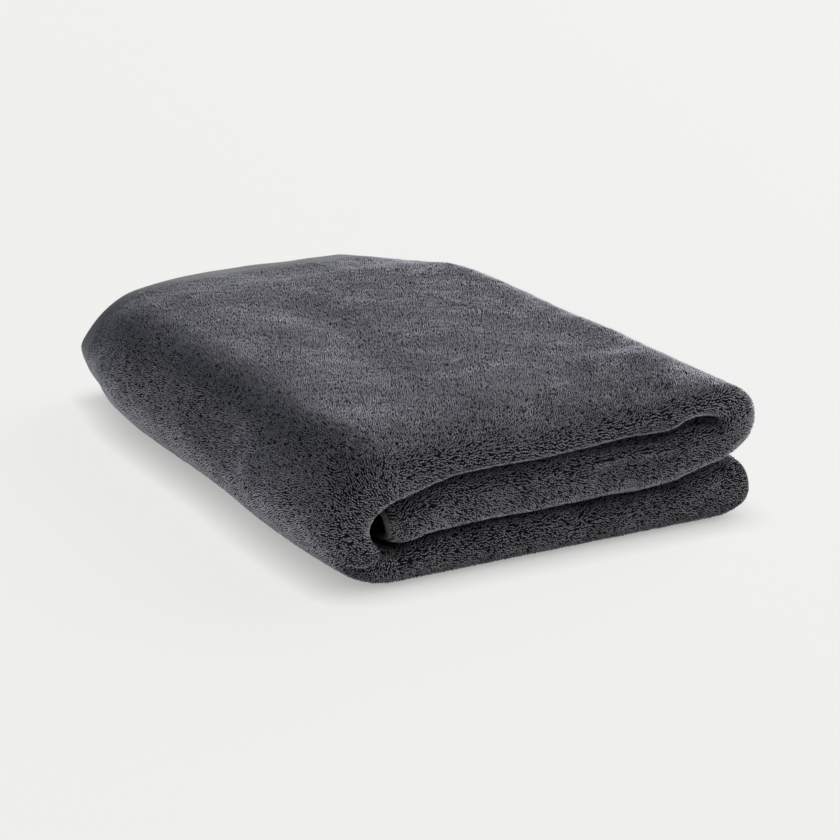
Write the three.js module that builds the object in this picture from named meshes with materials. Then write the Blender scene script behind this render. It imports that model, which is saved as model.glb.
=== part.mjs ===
// A bath towel of thick terry cloth, folded flat and lying on a table.
// The cloth is one sheet, 700 mm by 1400 mm. It is folded in quarters along its length, which
// makes a band of four layers, and the band is then folded over twice across its width.
// +X runs along the front, where the smooth folded edges show, +Y away from the front, +Z up.
// All sizes are in millimetres.
import * as THREE from 'three';

// the cloth laid flat
const FLAT_WIDTH = 700;
const FLAT_LENGTH = 1400;
const HEM_WIDTH = 20;
const SELVAGE_WIDTH = 7;

// thickness of one layer with its pile, of the smooth woven edges, and the air between layers
const LAYER_PITCH = 6.3;
const LAYER_GAP = 0.7;
const PILE_THICKNESS = LAYER_PITCH - LAYER_GAP;
const WOVEN_THICKNESS = 3.2;
const PILE_RAMP = 5;

// a band is the four layers of the quarter fold, and the stack is three bands high
const LAYERS_IN_BAND = 4;
const BANDS_IN_STACK = 3;
const BAND = LAYERS_IN_BAND * LAYER_PITCH;
const STACK_WIDTH = 256;
const STACK_DEPTH = 358;
const HALF_WIDTH = STACK_WIDTH / 2;
const HALF_DEPTH = STACK_DEPTH / 2;

// the quarter fold: the front fold has a squarish nose, and the inner fold sits behind it
const NOSE_REACH = 9;
const NOSE_SQUARENESS = 0.72;
const INNER_FOLD_SETBACK = 5;
const BACK_FOLD_SETBACK = 9;

// the band folded over: outer radii of the two turns, and where the bottom band starts
const LEFT_RADIUS = BAND * BANDS_IN_STACK / 2;
const RIGHT_RADIUS = BAND;
const BOTTOM_END_INSET = 2;
// the fibre that keeps its length in a turn, as a share of the band's thickness from its outer face
const NEUTRAL_FIBRE = 0.63 * BAND;

// steps of the mesh
const NOSE_STEPS = 7;
const SMALL_FOLD_STEPS = 4;
const LEFT_TURN_STEPS = 10;
const RIGHT_TURN_STEPS = 8;
const SMALL_ANGLE = 1e-4;

// distances from the far end that every layer shares, so that layers stay the same distance apart
const DEPTH_STATIONS = [45, 74, 110, 165, 225, 278, 312, 332];
// places across the stack that the three bands share, for the same reason
const WIDTH_STATIONS = [-64, -34, 0, 38, 74];

// how far the dark line between bottom and middle band lies above an even stack
const LOWER_CREASE = [
  { x: -128, lift: -3.0 },
  { x: -86, lift: -2.2 },
  { x: -60, lift: -2.2 },
  { x: -9, lift: -1.4 },
  { x: 40, lift: -0.4 },
  { x: 65, lift: 0.2 },
  { x: 84, lift: 2.2 },
  { x: 100, lift: 6.4 },
  { x: 117, lift: 7.3 },
  { x: 128, lift: 3.6 },
];

// the same for the line between middle and top band
const UPPER_CREASE = [
  { x: -128, lift: -7.0 },
  { x: -76, lift: -7.0 },
  { x: -65, lift: -3.2 },
  { x: -50, lift: 0.2 },
  { x: -28, lift: 1.2 },
  { x: 25, lift: 2.5 },
  { x: 73, lift: 4.0 },
  { x: 83, lift: 5.6 },
  { x: 90, lift: 8.8 },
  { x: 107, lift: 6.6 },
  { x: 128, lift: 3.0 },
];

// the same for the top face
const TOP_FACE = [
  { x: -128, lift: -0.1 },
  { x: 0, lift: 0 },
  { x: 128, lift: -0.3 },
];

// the right-hand side as it stands out or draws in at each height
const RIGHT_SIDE = [
  { z: 0, out: -11.8 },
  { z: 14, out: -2.5 },
  { z: 33, out: -1.7 },
  { z: 52, out: 1.2 },
  { z: 78, out: 2.0 },
];

// how much shorter the layers end at the bottom band's right-hand end, by depth in the band
const BOTTOM_END_STAGGER = [
  { depth: 0, short: 6.4 },
  { depth: 8, short: 0 },
  { depth: 16, short: 1.5 },
  { depth: 25, short: 4.0 },
];
const STAGGER_REACH = 60;
// and how much further the inner layers reach than the outer ones at the band's other end
const MIDDLE_END_STAGGER = 10;

// the crease lifts are whole at the front and fade to a share of themselves toward the far end
const LIFT_FADE = { whole: -140, faded: 60, share: 0.45 };

// how the top falls toward the front, the far end and the two far corners
const FRONT_FALL = { reach: 51.5, drop: 9, dropAtRight: -1.2, rightFrom: 20, rightTo: 110 };
const FAR_FALL = { reach: 85, drop: 6.4 };
const FAR_CORNERS = { dropAtLeft: 11.2, leftReach: 95, dropAtRight: 14.2, rightReach: 60, power: 1.5 };
const CROWN = { height: 1.3, from: -HALF_DEPTH, to: 60 };
// the fall is whole at the top and fades to nothing at this share of the stack's height
const FALL_FADES_AT = 0.3;
// points a little past the stack's edge still follow the falls and draws, up to this share
const PAST_EDGE = 1.2;

// how the two sides draw in toward the front and the far end
const LEFT_DRAW = { fadesAt: 10, near: 8.6, nearReach: 107.6, far: 13.9, farReach: 110.3 };
const LEFT_SPREAD = { out: 8, from: -60, to: 120 };
const LEFT_FOOT = { out: 0.5, below: 45 };
const RIGHT_DRAW = { taper: 0.04, pivot: -60, far: 21 };
const RIGHT_SIDE_FADE = { from: 70, to: 126, share: 0.5, faded: 60, whole: -120 };

const CLOTH_COLOUR = 0x46464c;
const CLOTH_ROUGHNESS = 1;

const clamp = (value, low, high) => Math.min(high, Math.max(low, value));

function smoothStep(from, to, value) {
  const u = clamp((value - from) / (to - from), 0, 1);
  return u * u * (3 - 2 * u);
}

// a soft bump that is 1 at 0 and 0 from -1 and +1 outward
function softHat(u) {
  if (Math.abs(u) >= 1) return 0;
  return Math.cos(Math.PI / 2 * u) ** 2;
}

// smooth curve through the rows of a table, flat beyond its ends, without overshoot
function readTable(rows, key, name, value) {
  const last = rows.length - 1;
  const v = clamp(value, rows[0][key], rows[last][key]);
  let i = 0;
  while (i < last - 1 && v > rows[i + 1][key]) i += 1;
  const secant = (k) => (rows[k + 1][name] - rows[k][name]) / (rows[k + 1][key] - rows[k][key]);
  const slope = (k) => {
    if (k === 0) return secant(0);
    if (k === last) return secant(last - 1);
    const before = secant(k - 1);
    const after = secant(k);
    if (before * after <= 0) return 0;
    return 2 * before * after / (before + after);
  };
  const span = rows[i + 1][key] - rows[i][key];
  const u = (v - rows[i][key]) / span;
  const rest = 1 - u;
  return rest * rest * (1 + 2 * u) * rows[i][name]
    + u * rest * rest * span * slope(i)
    + u * u * (3 - 2 * u) * rows[i + 1][name]
    - u * u * rest * span * slope(i + 1);
}

// One row of the quarter fold, seen from its side: back is the distance from the far end, depth
// the distance from the band's outer face. The direction is the way the cloth runs there.
function sectionRow(back, depth, directionBack, directionDepth) {
  return { back, depth, directionBack, directionDepth, along: 0 };
}

// a straight run of cloth at one depth, through the given distances from the far end
function straightRun(backs, depth) {
  const way = Math.sign(backs[backs.length - 1] - backs[0]);
  return backs.map((back) => sectionRow(back, depth, way, 0));
}

// Half a turn of cloth round a centre. toFront is +1 where the fold points to the front and -1
// where it points to the far end; turn is +1 where it runs from the outer side to the inner side.
function halfTurn(fold) {
  const rows = [];
  const point = (angle) => {
    const reach = Math.abs(Math.cos(angle)) ** fold.squareness;
    const rise = Math.sign(Math.sin(angle)) * Math.abs(Math.sin(angle)) ** fold.squareness;
    return [fold.back + fold.toFront * fold.reach * reach, fold.depth + fold.turn * fold.rise * rise];
  };
  for (let i = 1; i < fold.steps; i += 1) {
    const angle = -Math.PI / 2 + Math.PI * i / fold.steps;
    const here = point(angle);
    const next = point(angle + SMALL_ANGLE);
    const length = Math.hypot(next[0] - here[0], next[1] - here[1]);
    rows.push(sectionRow(here[0], here[1], (next[0] - here[0]) / length, (next[1] - here[1]) / length));
  }
  return rows;
}

// the whole quarter fold as one run of rows, from the first hem to the second
function quarterFold() {
  const layer = (k) => (k - 0.5) * LAYER_PITCH;
  const noseBack = STACK_DEPTH - NOSE_REACH - PILE_THICKNESS / 2;
  const innerBack = noseBack - INNER_FOLD_SETBACK;
  const hemBacks = (end) => [end, end + HEM_WIDTH, end + HEM_WIDTH + PILE_RAMP];
  const nose = {
    back: noseBack,
    depth: BAND / 2,
    reach: NOSE_REACH,
    rise: (BAND - LAYER_PITCH) / 2,
    toFront: 1,
    turn: 1,
    steps: NOSE_STEPS,
    squareness: NOSE_SQUARENESS,
  };
  const backFold = {
    back: BACK_FOLD_SETBACK,
    depth: (layer(3) + layer(4)) / 2,
    reach: LAYER_PITCH / 2,
    rise: LAYER_PITCH / 2,
    toFront: -1,
    turn: -1,
    steps: SMALL_FOLD_STEPS,
    squareness: 1,
  };
  const innerFold = { ...backFold, back: innerBack, depth: BAND / 2, toFront: 1 };
  const hemZone = [HEM_WIDTH, HEM_WIDTH + PILE_RAMP];
  const outerRun = [...hemBacks(0), ...DEPTH_STATIONS, noseBack];
  const backward = [...hemZone, ...DEPTH_STATIONS].reverse();
  const innermostRun = [noseBack, ...backward, BACK_FOLD_SETBACK];
  const thirdRun = [BACK_FOLD_SETBACK, ...hemZone, ...DEPTH_STATIONS, innerBack];
  const beforeLastRun = [
    ...straightRun(outerRun, layer(1)),
    ...halfTurn(nose),
    ...straightRun(innermostRun, layer(4)),
    ...halfTurn(backFold),
    ...straightRun(thirdRun, layer(3)),
    ...halfTurn(innerFold),
  ];
  // the last layer takes what is left of the cloth's length
  const used = runLength(beforeLastRun) + (innerBack - beforeLastRun[beforeLastRun.length - 1].back)
    + LAYER_PITCH / 2;
  const lastEnd = innerBack - (FLAT_LENGTH - used);
  const lastRun = [innerBack, ...[...DEPTH_STATIONS].reverse(), ...[...hemBacks(lastEnd)].reverse()];
  const rows = [...beforeLastRun, ...straightRun(lastRun, layer(2))];
  let along = 0;
  rows.forEach((row, i) => {
    if (i > 0) along += Math.hypot(row.back - rows[i - 1].back, row.depth - rows[i - 1].depth);
    row.along = along;
  });
  return rows;
}

function runLength(rows) {
  let length = 0;
  for (let i = 1; i < rows.length; i += 1) {
    length += Math.hypot(rows[i].back - rows[i - 1].back, rows[i].depth - rows[i - 1].depth);
  }
  return length;
}

// where the band's straight parts and turns meet, across the stack and along the band
const LEFT_CENTRE = -HALF_WIDTH + LEFT_RADIUS;
const RIGHT_CENTRE = HALF_WIDTH - RIGHT_RADIUS;
const BOTTOM_END = HALF_WIDTH - BOTTOM_END_INSET;
const LEFT_START = BOTTOM_END - LEFT_CENTRE;
const LEFT_END = LEFT_START + Math.PI * (LEFT_RADIUS - NEUTRAL_FIBRE);
const RIGHT_START = LEFT_END + RIGHT_CENTRE - LEFT_CENTRE;
const RIGHT_END = RIGHT_START + Math.PI * (RIGHT_RADIUS - NEUTRAL_FIBRE);

// where a point of the band lies in the even stack: across is measured along the band from its
// right-hand end, depth from its outer face
function evenStack(across, depth) {
  const top = BAND * BANDS_IN_STACK;
  if (across <= LEFT_START) {
    const short = readTable(BOTTOM_END_STAGGER, 'depth', 'short', depth)
      * (1 - smoothStep(0, STAGGER_REACH, across));
    return { x: BOTTOM_END - across - short, z: depth };
  }
  if (across <= LEFT_END) {
    const angle = (across - LEFT_START) / (LEFT_RADIUS - NEUTRAL_FIBRE);
    const radius = LEFT_RADIUS - depth;
    return { x: LEFT_CENTRE - radius * Math.sin(angle), z: LEFT_RADIUS - radius * Math.cos(angle) };
  }
  if (across <= RIGHT_START) return { x: LEFT_CENTRE + across - LEFT_END, z: top - depth };
  if (across <= RIGHT_END) {
    const angle = (across - RIGHT_START) / (RIGHT_RADIUS - NEUTRAL_FIBRE);
    const radius = RIGHT_RADIUS - depth;
    return { x: RIGHT_CENTRE + radius * Math.sin(angle), z: top - RIGHT_RADIUS + radius * Math.cos(angle) };
  }
  const further = MIDDLE_END_STAGGER * (depth / BAND - 0.5)
    * smoothStep(FLAT_WIDTH - STAGGER_REACH, FLAT_WIDTH, across);
  return { x: RIGHT_CENTRE - (across - RIGHT_END) - further, z: BAND + depth };
}

// places along the band: the two smooth selvages, the shared places of the straight parts, the turns
function bandStations() {
  const turn = (from, to, steps) => {
    const places = [];
    for (let i = 0; i <= steps; i += 1) places.push(from + (to - from) * i / steps);
    return places;
  };
  const middleEnd = FLAT_WIDTH;
  const bottom = [...WIDTH_STATIONS].reverse().map((x) => BOTTOM_END - x);
  const top = WIDTH_STATIONS.map((x) => LEFT_END + x - LEFT_CENTRE);
  const middle = [...WIDTH_STATIONS].reverse().map((x) => RIGHT_END + RIGHT_CENTRE - x);
  return [
    0,
    SELVAGE_WIDTH,
    SELVAGE_WIDTH + PILE_RAMP,
    BOTTOM_END - RIGHT_CENTRE,
    ...bottom,
    ...turn(LEFT_START, LEFT_END, LEFT_TURN_STEPS),
    ...top,
    ...turn(RIGHT_START, RIGHT_END, RIGHT_TURN_STEPS),
    ...middle,
    middleEnd - SELVAGE_WIDTH - PILE_RAMP,
    middleEnd - SELVAGE_WIDTH,
    middleEnd,
  ];
}

// the cloth is thin at its woven hems and selvages, and thick where it has pile
function thicknessAt(across, along, total) {
  const fromHem = Math.min(along, total - along);
  const fromSelvage = Math.min(across, FLAT_WIDTH - across);
  const pile = smoothStep(HEM_WIDTH, HEM_WIDTH + PILE_RAMP, fromHem)
    * smoothStep(SELVAGE_WIDTH, SELVAGE_WIDTH + PILE_RAMP, fromSelvage);
  return WOVEN_THICKNESS + (PILE_THICKNESS - WOVEN_THICKNESS) * pile;
}

// the creases between the bands rise toward the right, as the soft ends fill the space there
function creaseLift(x, y, z) {
  const level = z / BAND;
  const share = LIFT_FADE.share + (1 - LIFT_FADE.share) * smoothStep(LIFT_FADE.faded, LIFT_FADE.whole, y);
  const lower = readTable(LOWER_CREASE, 'x', 'lift', x) * share * softHat(level - 1);
  const upper = readTable(UPPER_CREASE, 'x', 'lift', x) * share * softHat(level - 2);
  const topShare = level > BANDS_IN_STACK ? 1 : softHat(level - BANDS_IN_STACK);
  return lower + upper + readTable(TOP_FACE, 'x', 'lift', x) * topShare;
}

// distance past a line, as a share of the reach that ends at the side
const shareTo = (distance, side, reach) => clamp((distance - (side - reach)) / reach, 0, PAST_EDGE);

// the top is a low cushion that falls at the front, at the far end and most at its far corners
function topFall(x, y, z) {
  const front = shareTo(-y, HALF_DEPTH, FRONT_FALL.reach);
  const far = shareTo(y, HALF_DEPTH, FAR_FALL.reach);
  const left = shareTo(-x, HALF_WIDTH, FAR_CORNERS.leftReach);
  const right = shareTo(x, HALF_WIDTH, FAR_CORNERS.rightReach);
  const frontDrop = FRONT_FALL.drop + (FRONT_FALL.dropAtRight - FRONT_FALL.drop)
    * smoothStep(FRONT_FALL.rightFrom, FRONT_FALL.rightTo, x);
  const corners = FAR_CORNERS.dropAtRight * right ** FAR_CORNERS.power
    + FAR_CORNERS.dropAtLeft * left ** FAR_CORNERS.power;
  const across = clamp(x / HALF_WIDTH, -1, 1);
  const crown = CROWN.height * (1 - across * across) * smoothStep(CROWN.from, CROWN.to, y);
  const fall = frontDrop * front * front + (FAR_FALL.drop + corners) * far * far - crown;
  return fall * smoothStep(FALL_FADES_AT, 1, z / (BAND * BANDS_IN_STACK));
}

// the sides draw in toward the front and the far end, and the right-hand side follows its table
function sideDraw(x, y, z) {
  const near = shareTo(-y, HALF_DEPTH, LEFT_DRAW.nearReach);
  const far = shareTo(y, HALF_DEPTH, LEFT_DRAW.farReach);
  const left = LEFT_DRAW.near * near * near + LEFT_DRAW.far * far * far
    - LEFT_SPREAD.out * smoothStep(LEFT_SPREAD.from, LEFT_SPREAD.to, y)
    - LEFT_FOOT.out * (1 - smoothStep(0, LEFT_FOOT.below, z));
  const right = -RIGHT_DRAW.taper * (y - RIGHT_DRAW.pivot) - RIGHT_DRAW.far * far * far;
  const fade = RIGHT_SIDE_FADE;
  const share = fade.share + (1 - fade.share) * smoothStep(fade.faded, fade.whole, y);
  const side = readTable(RIGHT_SIDE, 'z', 'out', z) * smoothStep(fade.from, fade.to, x) * share;
  const leftShare = smoothStep(LEFT_DRAW.fadesAt, -HALF_WIDTH, x);
  const rightShare = smoothStep(0, HALF_WIDTH, x);
  return leftShare * left + rightShare * right + side;
}

// a point of the even stack where it lies in the settled towel
function settle(x, y, z) {
  return new THREE.Vector3(
    x + sideDraw(x, y, z),
    y,
    z + creaseLift(x, y, z) - topFall(x, y, z),
  );
}

// a point on one face of the cloth
function clothPoint(across, row, total, side) {
  const half = side * thicknessAt(across, row.along, total) / 2;
  const back = row.back + half * row.directionDepth;
  const depth = row.depth - half * row.directionBack;
  const even = evenStack(across, depth);
  return settle(even.x, HALF_DEPTH - back, even.z - LAYER_GAP / 2);
}

// the folded sheet as one closed solid: both faces of the cloth, and the narrow edge all round
function foldedSheet() {
  const rows = quarterFold();
  const stations = bandStations();
  const total = rows[rows.length - 1].along;
  const positions = [];
  for (const side of [1, -1]) {
    for (const across of stations) {
      for (const row of rows) positions.push(...clothPoint(across, row, total, side).toArray());
    }
  }
  const rowCount = rows.length;
  const faceCount = stations.length * rowCount;
  const outer = (i, j) => i * rowCount + j;
  const inner = (i, j) => faceCount + i * rowCount + j;
  const indices = [];
  const quad = (a, b, c, d) => indices.push(a, b, c, a, c, d);
  // a four-sided cell is cut the same way in every layer, so that layers stay the same distance apart
  const cell = (a, b, c, d, cutAcross) => {
    if (cutAcross) quad(b, c, d, a);
    else quad(a, b, c, d);
  };
  const end = stations.length - 1;
  const lastRow = rowCount - 1;
  for (let i = 0; i < end; i += 1) {
    const toLeft = evenStack(stations[i + 1], BAND / 2).x < evenStack(stations[i], BAND / 2).x;
    for (let j = 0; j < lastRow; j += 1) {
      const toFront = rows[j + 1].back > rows[j].back;
      const cutAcross = toLeft === toFront;
      cell(outer(i, j), outer(i, j + 1), outer(i + 1, j + 1), outer(i + 1, j), cutAcross);
      cell(inner(i, j), inner(i + 1, j), inner(i + 1, j + 1), inner(i, j + 1), cutAcross);
    }
  }
  for (let j = 0; j < lastRow; j += 1) {
    quad(outer(0, j + 1), outer(0, j), inner(0, j), inner(0, j + 1));
    quad(outer(end, j), outer(end, j + 1), inner(end, j + 1), inner(end, j));
  }
  for (let i = 0; i < end; i += 1) {
    quad(outer(i, 0), outer(i + 1, 0), inner(i + 1, 0), inner(i, 0));
    quad(outer(i + 1, lastRow), outer(i, lastRow), inner(i, lastRow), inner(i + 1, lastRow));
  }
  const geometry = new THREE.BufferGeometry();
  geometry.setAttribute('position', new THREE.Float32BufferAttribute(positions, 3));
  geometry.setIndex(indices);
  return geometry;
}

// puts the middle of the box over the origin and the underside on the table
function centreOverOrigin(geometry) {
  geometry.computeBoundingBox();
  const box = geometry.boundingBox;
  geometry.translate(-(box.min.x + box.max.x) / 2, -(box.min.y + box.max.y) / 2, -box.min.z);
  geometry.computeVertexNormals();
  return geometry;
}

function clothMaterial() {
  return new THREE.MeshStandardMaterial({
    name: 'terry_cloth',
    color: CLOTH_COLOUR,
    roughness: CLOTH_ROUGHNESS,
    metalness: 0,
  });
}

const group = new THREE.Group();
group.name = 'folded_bath_towel';
const towel = new THREE.Mesh(centreOverOrigin(foldedSheet()), clothMaterial());
towel.name = 'towel_cloth';
group.add(towel);

export default group;
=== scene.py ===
"""A bath towel of thick charcoal terry cloth, folded flat, on a pale floor.

The cloth is one sheet. It is folded in quarters along its length, which makes a band of four
layers, and the band is folded over twice across its width. The sheet is laid along the same folds
as the solid in the frame, with the small troughs and ridges of soft cloth, and loops of yarn are
scattered evenly over it wherever it lies open. Sizes are in millimetres until a mesh is made.
"""
import math

import bpy
import numpy as np
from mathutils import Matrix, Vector
from mathutils.bvhtree import BVHTree


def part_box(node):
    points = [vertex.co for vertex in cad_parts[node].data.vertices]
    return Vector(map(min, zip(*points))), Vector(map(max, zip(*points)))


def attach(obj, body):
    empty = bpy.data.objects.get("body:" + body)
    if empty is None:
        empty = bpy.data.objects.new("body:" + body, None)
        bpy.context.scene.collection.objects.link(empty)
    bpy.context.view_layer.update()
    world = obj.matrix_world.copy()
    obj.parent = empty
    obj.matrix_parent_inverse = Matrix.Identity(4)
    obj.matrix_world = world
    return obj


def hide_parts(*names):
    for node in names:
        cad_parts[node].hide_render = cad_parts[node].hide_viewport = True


bl_info = {
    "name": "Folded bath towel",
    "version": (1, 0, 0),
    "blender": (4, 5, 0),
    "location": "View3D > Sidebar > Towel",
    "description": "Builds a folded towel with its terry loops, its hem and a plain stage",
    "category": "Object",
}

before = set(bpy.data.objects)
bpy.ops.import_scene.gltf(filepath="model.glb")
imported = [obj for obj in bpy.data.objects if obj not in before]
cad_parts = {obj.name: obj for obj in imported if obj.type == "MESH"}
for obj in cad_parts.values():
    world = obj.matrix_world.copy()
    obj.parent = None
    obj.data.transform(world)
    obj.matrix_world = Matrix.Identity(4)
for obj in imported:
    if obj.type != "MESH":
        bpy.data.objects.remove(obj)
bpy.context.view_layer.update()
CLOTH_NODE = "towel_cloth"
MM = 0.001

# the cloth laid flat
FLAT_WIDTH = 700.0
FLAT_LENGTH = 1400.0
HEM_WIDTH = 20.0
SELVAGE_WIDTH = 0.8
SELVAGE_RAMP = 2.2

# thickness of one layer with its pile, of the smooth woven edges, and the air between layers
LAYER_PITCH = 6.3
LAYER_GAP = 0.7
PILE_THICKNESS = LAYER_PITCH - LAYER_GAP
WOVEN_THICKNESS = 3.4
PILE_RAMP = 5.0

# a band is the four layers of the quarter fold, and the stack is three bands high
BAND = 4 * LAYER_PITCH
BANDS_IN_STACK = 3
STACK_WIDTH = 256.0
STACK_DEPTH = 358.0
HALF_WIDTH = STACK_WIDTH / 2
HALF_DEPTH = STACK_DEPTH / 2

# the quarter fold: the front fold has a squarish nose, and the inner fold sits behind it
NOSE_REACH = 9.0
NOSE_SQUARENESS = 0.72
INNER_FOLD_SETBACK = 5.0
BACK_FOLD_SETBACK = 9.0

# the band folded over: outer radii of the two turns, where the bottom band starts, and the fibre
# that keeps its length in a turn
LEFT_RADIUS = BAND * BANDS_IN_STACK / 2
RIGHT_RADIUS = BAND
BOTTOM_END_INSET = 2.0
NEUTRAL_FIBRE = 0.63 * BAND

LEFT_CENTRE = -HALF_WIDTH + LEFT_RADIUS
RIGHT_CENTRE = HALF_WIDTH - RIGHT_RADIUS
BOTTOM_END = HALF_WIDTH - BOTTOM_END_INSET
LEFT_START = BOTTOM_END - LEFT_CENTRE
LEFT_END = LEFT_START + math.pi * (LEFT_RADIUS - NEUTRAL_FIBRE)
RIGHT_START = LEFT_END + RIGHT_CENTRE - LEFT_CENTRE
RIGHT_END = RIGHT_START + math.pi * (RIGHT_RADIUS - NEUTRAL_FIBRE)

# how far the dark lines between the bands, and the top face, lie above an even stack
LOWER_CREASE = {
    "x": (-128, -96, -86, -78, -70, -60, -9, 40, 52, 65, 78, 88, 100, 117, 128),
    "lift": (-3.0, -5.4, -6.6, -4.6, -2.8, -2.2, -1.4, -0.8, -1.7, -1.4, -0.2, 2.9, 6.2, 7.3, 3.6),
}
UPPER_CREASE = {
    "x": (-128, -96, -84, -76, -65, -50, -28, 25, 48, 62, 74, 83, 90, 107, 128),
    "lift": (-7.0, -4.4, -2.4, -0.8, 2.2, 4.8, 5.3, 6.7, 6.8, 5.6, 4.6, 6.8, 8.6, 5.8, 3.0),
}
TOP_FACE = {"x": (-128, 0, 128), "lift": (-0.1, 0, -0.3)}
# the right-hand side as it stands out or draws in at each height
RIGHT_SIDE = {"z": (0, 14, 33, 52, 78), "out": (-11.8, -2.5, -1.7, 1.2, 2.0)}
# how much shorter the layers end at the bottom band's right-hand end, by depth in the band
BOTTOM_END_STAGGER = {"depth": (0, 8, 16, 25), "short": (6.4, 0, 1.5, 4.0)}
STAGGER_REACH = 60.0
# the middle band's end at the front: it leans, its inner layers are short, and its fold curls in
MIDDLE_END = {"lean": 5.5, "out": 3.0, "inner": 0.25, "inner_short": 9.0}
END_CURL = {"reach": 16.0, "back": 5.0, "pinch": 0.14}
NOSE_BACK = STACK_DEPTH - NOSE_REACH - PILE_THICKNESS / 2

# how the soft stack settles: see the functions that use these
LIFT_FADE = {"whole": -140, "faded": 60, "share": 0.45}
FRONT_FALL = {"reach": 51.5, "drop": 9, "drop_at_right": -1.2, "right_from": 20, "right_to": 110}
FAR_FALL = {"reach": 85, "drop": 6.4}
FAR_CORNERS = {"left": 11.2, "left_reach": 95, "right": 14.2, "right_reach": 60, "power": 1.5}
CROWN = {"height": 1.3, "from": -HALF_DEPTH, "to": 60}
FALL_FADES_AT = 0.3
PAST_EDGE = 1.2
LEFT_DRAW = {"fades_at": 10, "near": 8.6, "near_reach": 107.6, "far": 13.9, "far_reach": 110.3}
LEFT_SPREAD = {"out": 8, "from": -60, "to": 120}
LEFT_FOOT = {"out": 0.5, "below": 45}
RIGHT_DRAW = {"taper": 0.04, "pivot": -60, "far": 21}
RIGHT_SIDE_FADE = {"from": 70, "to": 126, "share": 0.5, "faded": 60, "whole": -120}

# steps of the mesh: fine where the cloth shows and turns, coarse where it lies inside
SHOWN_STEP = 4.8
HIDDEN_STEP = 10.0
NEAR_FOLD_STEP = 3.0
NEAR_FOLD_REACH = 36.0
NOSE_STEPS = 14
SMALL_FOLD_STEPS = 8
LEFT_TURN_STEPS = 24
RIGHT_TURN_STEPS = 18
SMALL_ANGLE = 1e-4


# the folds

def smooth_step(start, stop, value):
    share = np.clip((value - start) / (stop - start), 0.0, 1.0)
    return share * share * (3 - 2 * share)


def soft_hat(value):
    """A soft bump that is 1 at 0, and 0 from -1 and +1 outward."""
    return np.where(np.abs(value) < 1, np.cos(np.pi / 2 * np.clip(value, -1, 1)) ** 2, 0.0)


def read_table(table, key, name, value):
    """Smooth curve through a table's rows, flat beyond its ends and without overshoot."""
    at, height = np.array(table[key], float), np.array(table[name], float)
    secant = np.diff(height) / np.diff(at)
    slope = np.zeros(len(at))
    slope[0], slope[-1] = secant[0], secant[-1]
    before, after = secant[:-1], secant[1:]
    rising = before * after > 0
    total = np.where(rising, before + after, 1.0)
    slope[1:-1] = np.where(rising, 2 * before * after / total, 0.0)
    value = np.clip(value, at[0], at[-1])
    i = np.clip(np.searchsorted(at, value, side="right") - 1, 0, len(at) - 2)
    span = at[i + 1] - at[i]
    u = (value - at[i]) / span
    rest = 1 - u
    return (
        rest * rest * (1 + 2 * u) * height[i]
        + u * rest * rest * span * slope[i]
        + u * u * (3 - 2 * u) * height[i + 1]
        - u * u * rest * span * slope[i + 1]
    )


def stepped(first, last, step):
    """Evenly spread places from first to last, no further apart than step."""
    count = max(1, math.ceil(abs(last - first) / step - 1e-6))
    return [first + (last - first) * i / count for i in range(count + 1)]


def run_through(places):
    """Joins runs of places, each of which starts where the one before ends."""
    joined = list(places[0])
    for run in places[1:]:
        joined += run[1:]
    return joined


def straight_run(backs, depth):
    """A straight run of cloth at one depth, through the given distances from the far end."""
    way = math.copysign(1, backs[-1] - backs[0])
    return [(back, depth, way, 0.0) for back in backs]


def half_turn(back, depth, reach, rise, to_front, turn, steps, squareness=1.0):
    """Half a turn of cloth. to_front is +1 where the fold points to the front, and turn is +1
    where it runs from the band's outer side to its inner side."""

    def point(angle):
        out = abs(math.cos(angle)) ** squareness
        up = math.copysign(abs(math.sin(angle)) ** squareness, math.sin(angle))
        return back + to_front * reach * out, depth + turn * rise * up

    rows = []
    for i in range(1, steps):
        angle = -math.pi / 2 + math.pi * i / steps
        here, ahead = point(angle), point(angle + SMALL_ANGLE)
        length = math.dist(here, ahead)
        rows.append((*here, (ahead[0] - here[0]) / length, (ahead[1] - here[1]) / length))
    return rows


def run_length(rows):
    return sum(math.dist(a[:2], b[:2]) for a, b in zip(rows, rows[1:]))


def hem_places(end):
    """Rows across one hem: its rounded edge, the doubled strip, the stitched groove, the ribbed
    band, and the ramp up to the pile."""
    return [end + place for place in HEM_PROFILE["place"]]


# thickness of the hem, as a share of the woven thickness, by distance from the cut edge
HEM_PROFILE = {
    "place": (0, 0.8, 2.4, 6, 10, 12, 13, 14, 16, 18.5, 20, 22.5, 25),
    "share": (0.9, 1.35, 1.55, 1.6, 1.62, 1.6, 1.35, 1.62, 1.75, 1.72, 1.4, 1.5, 1.5),
}


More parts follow.
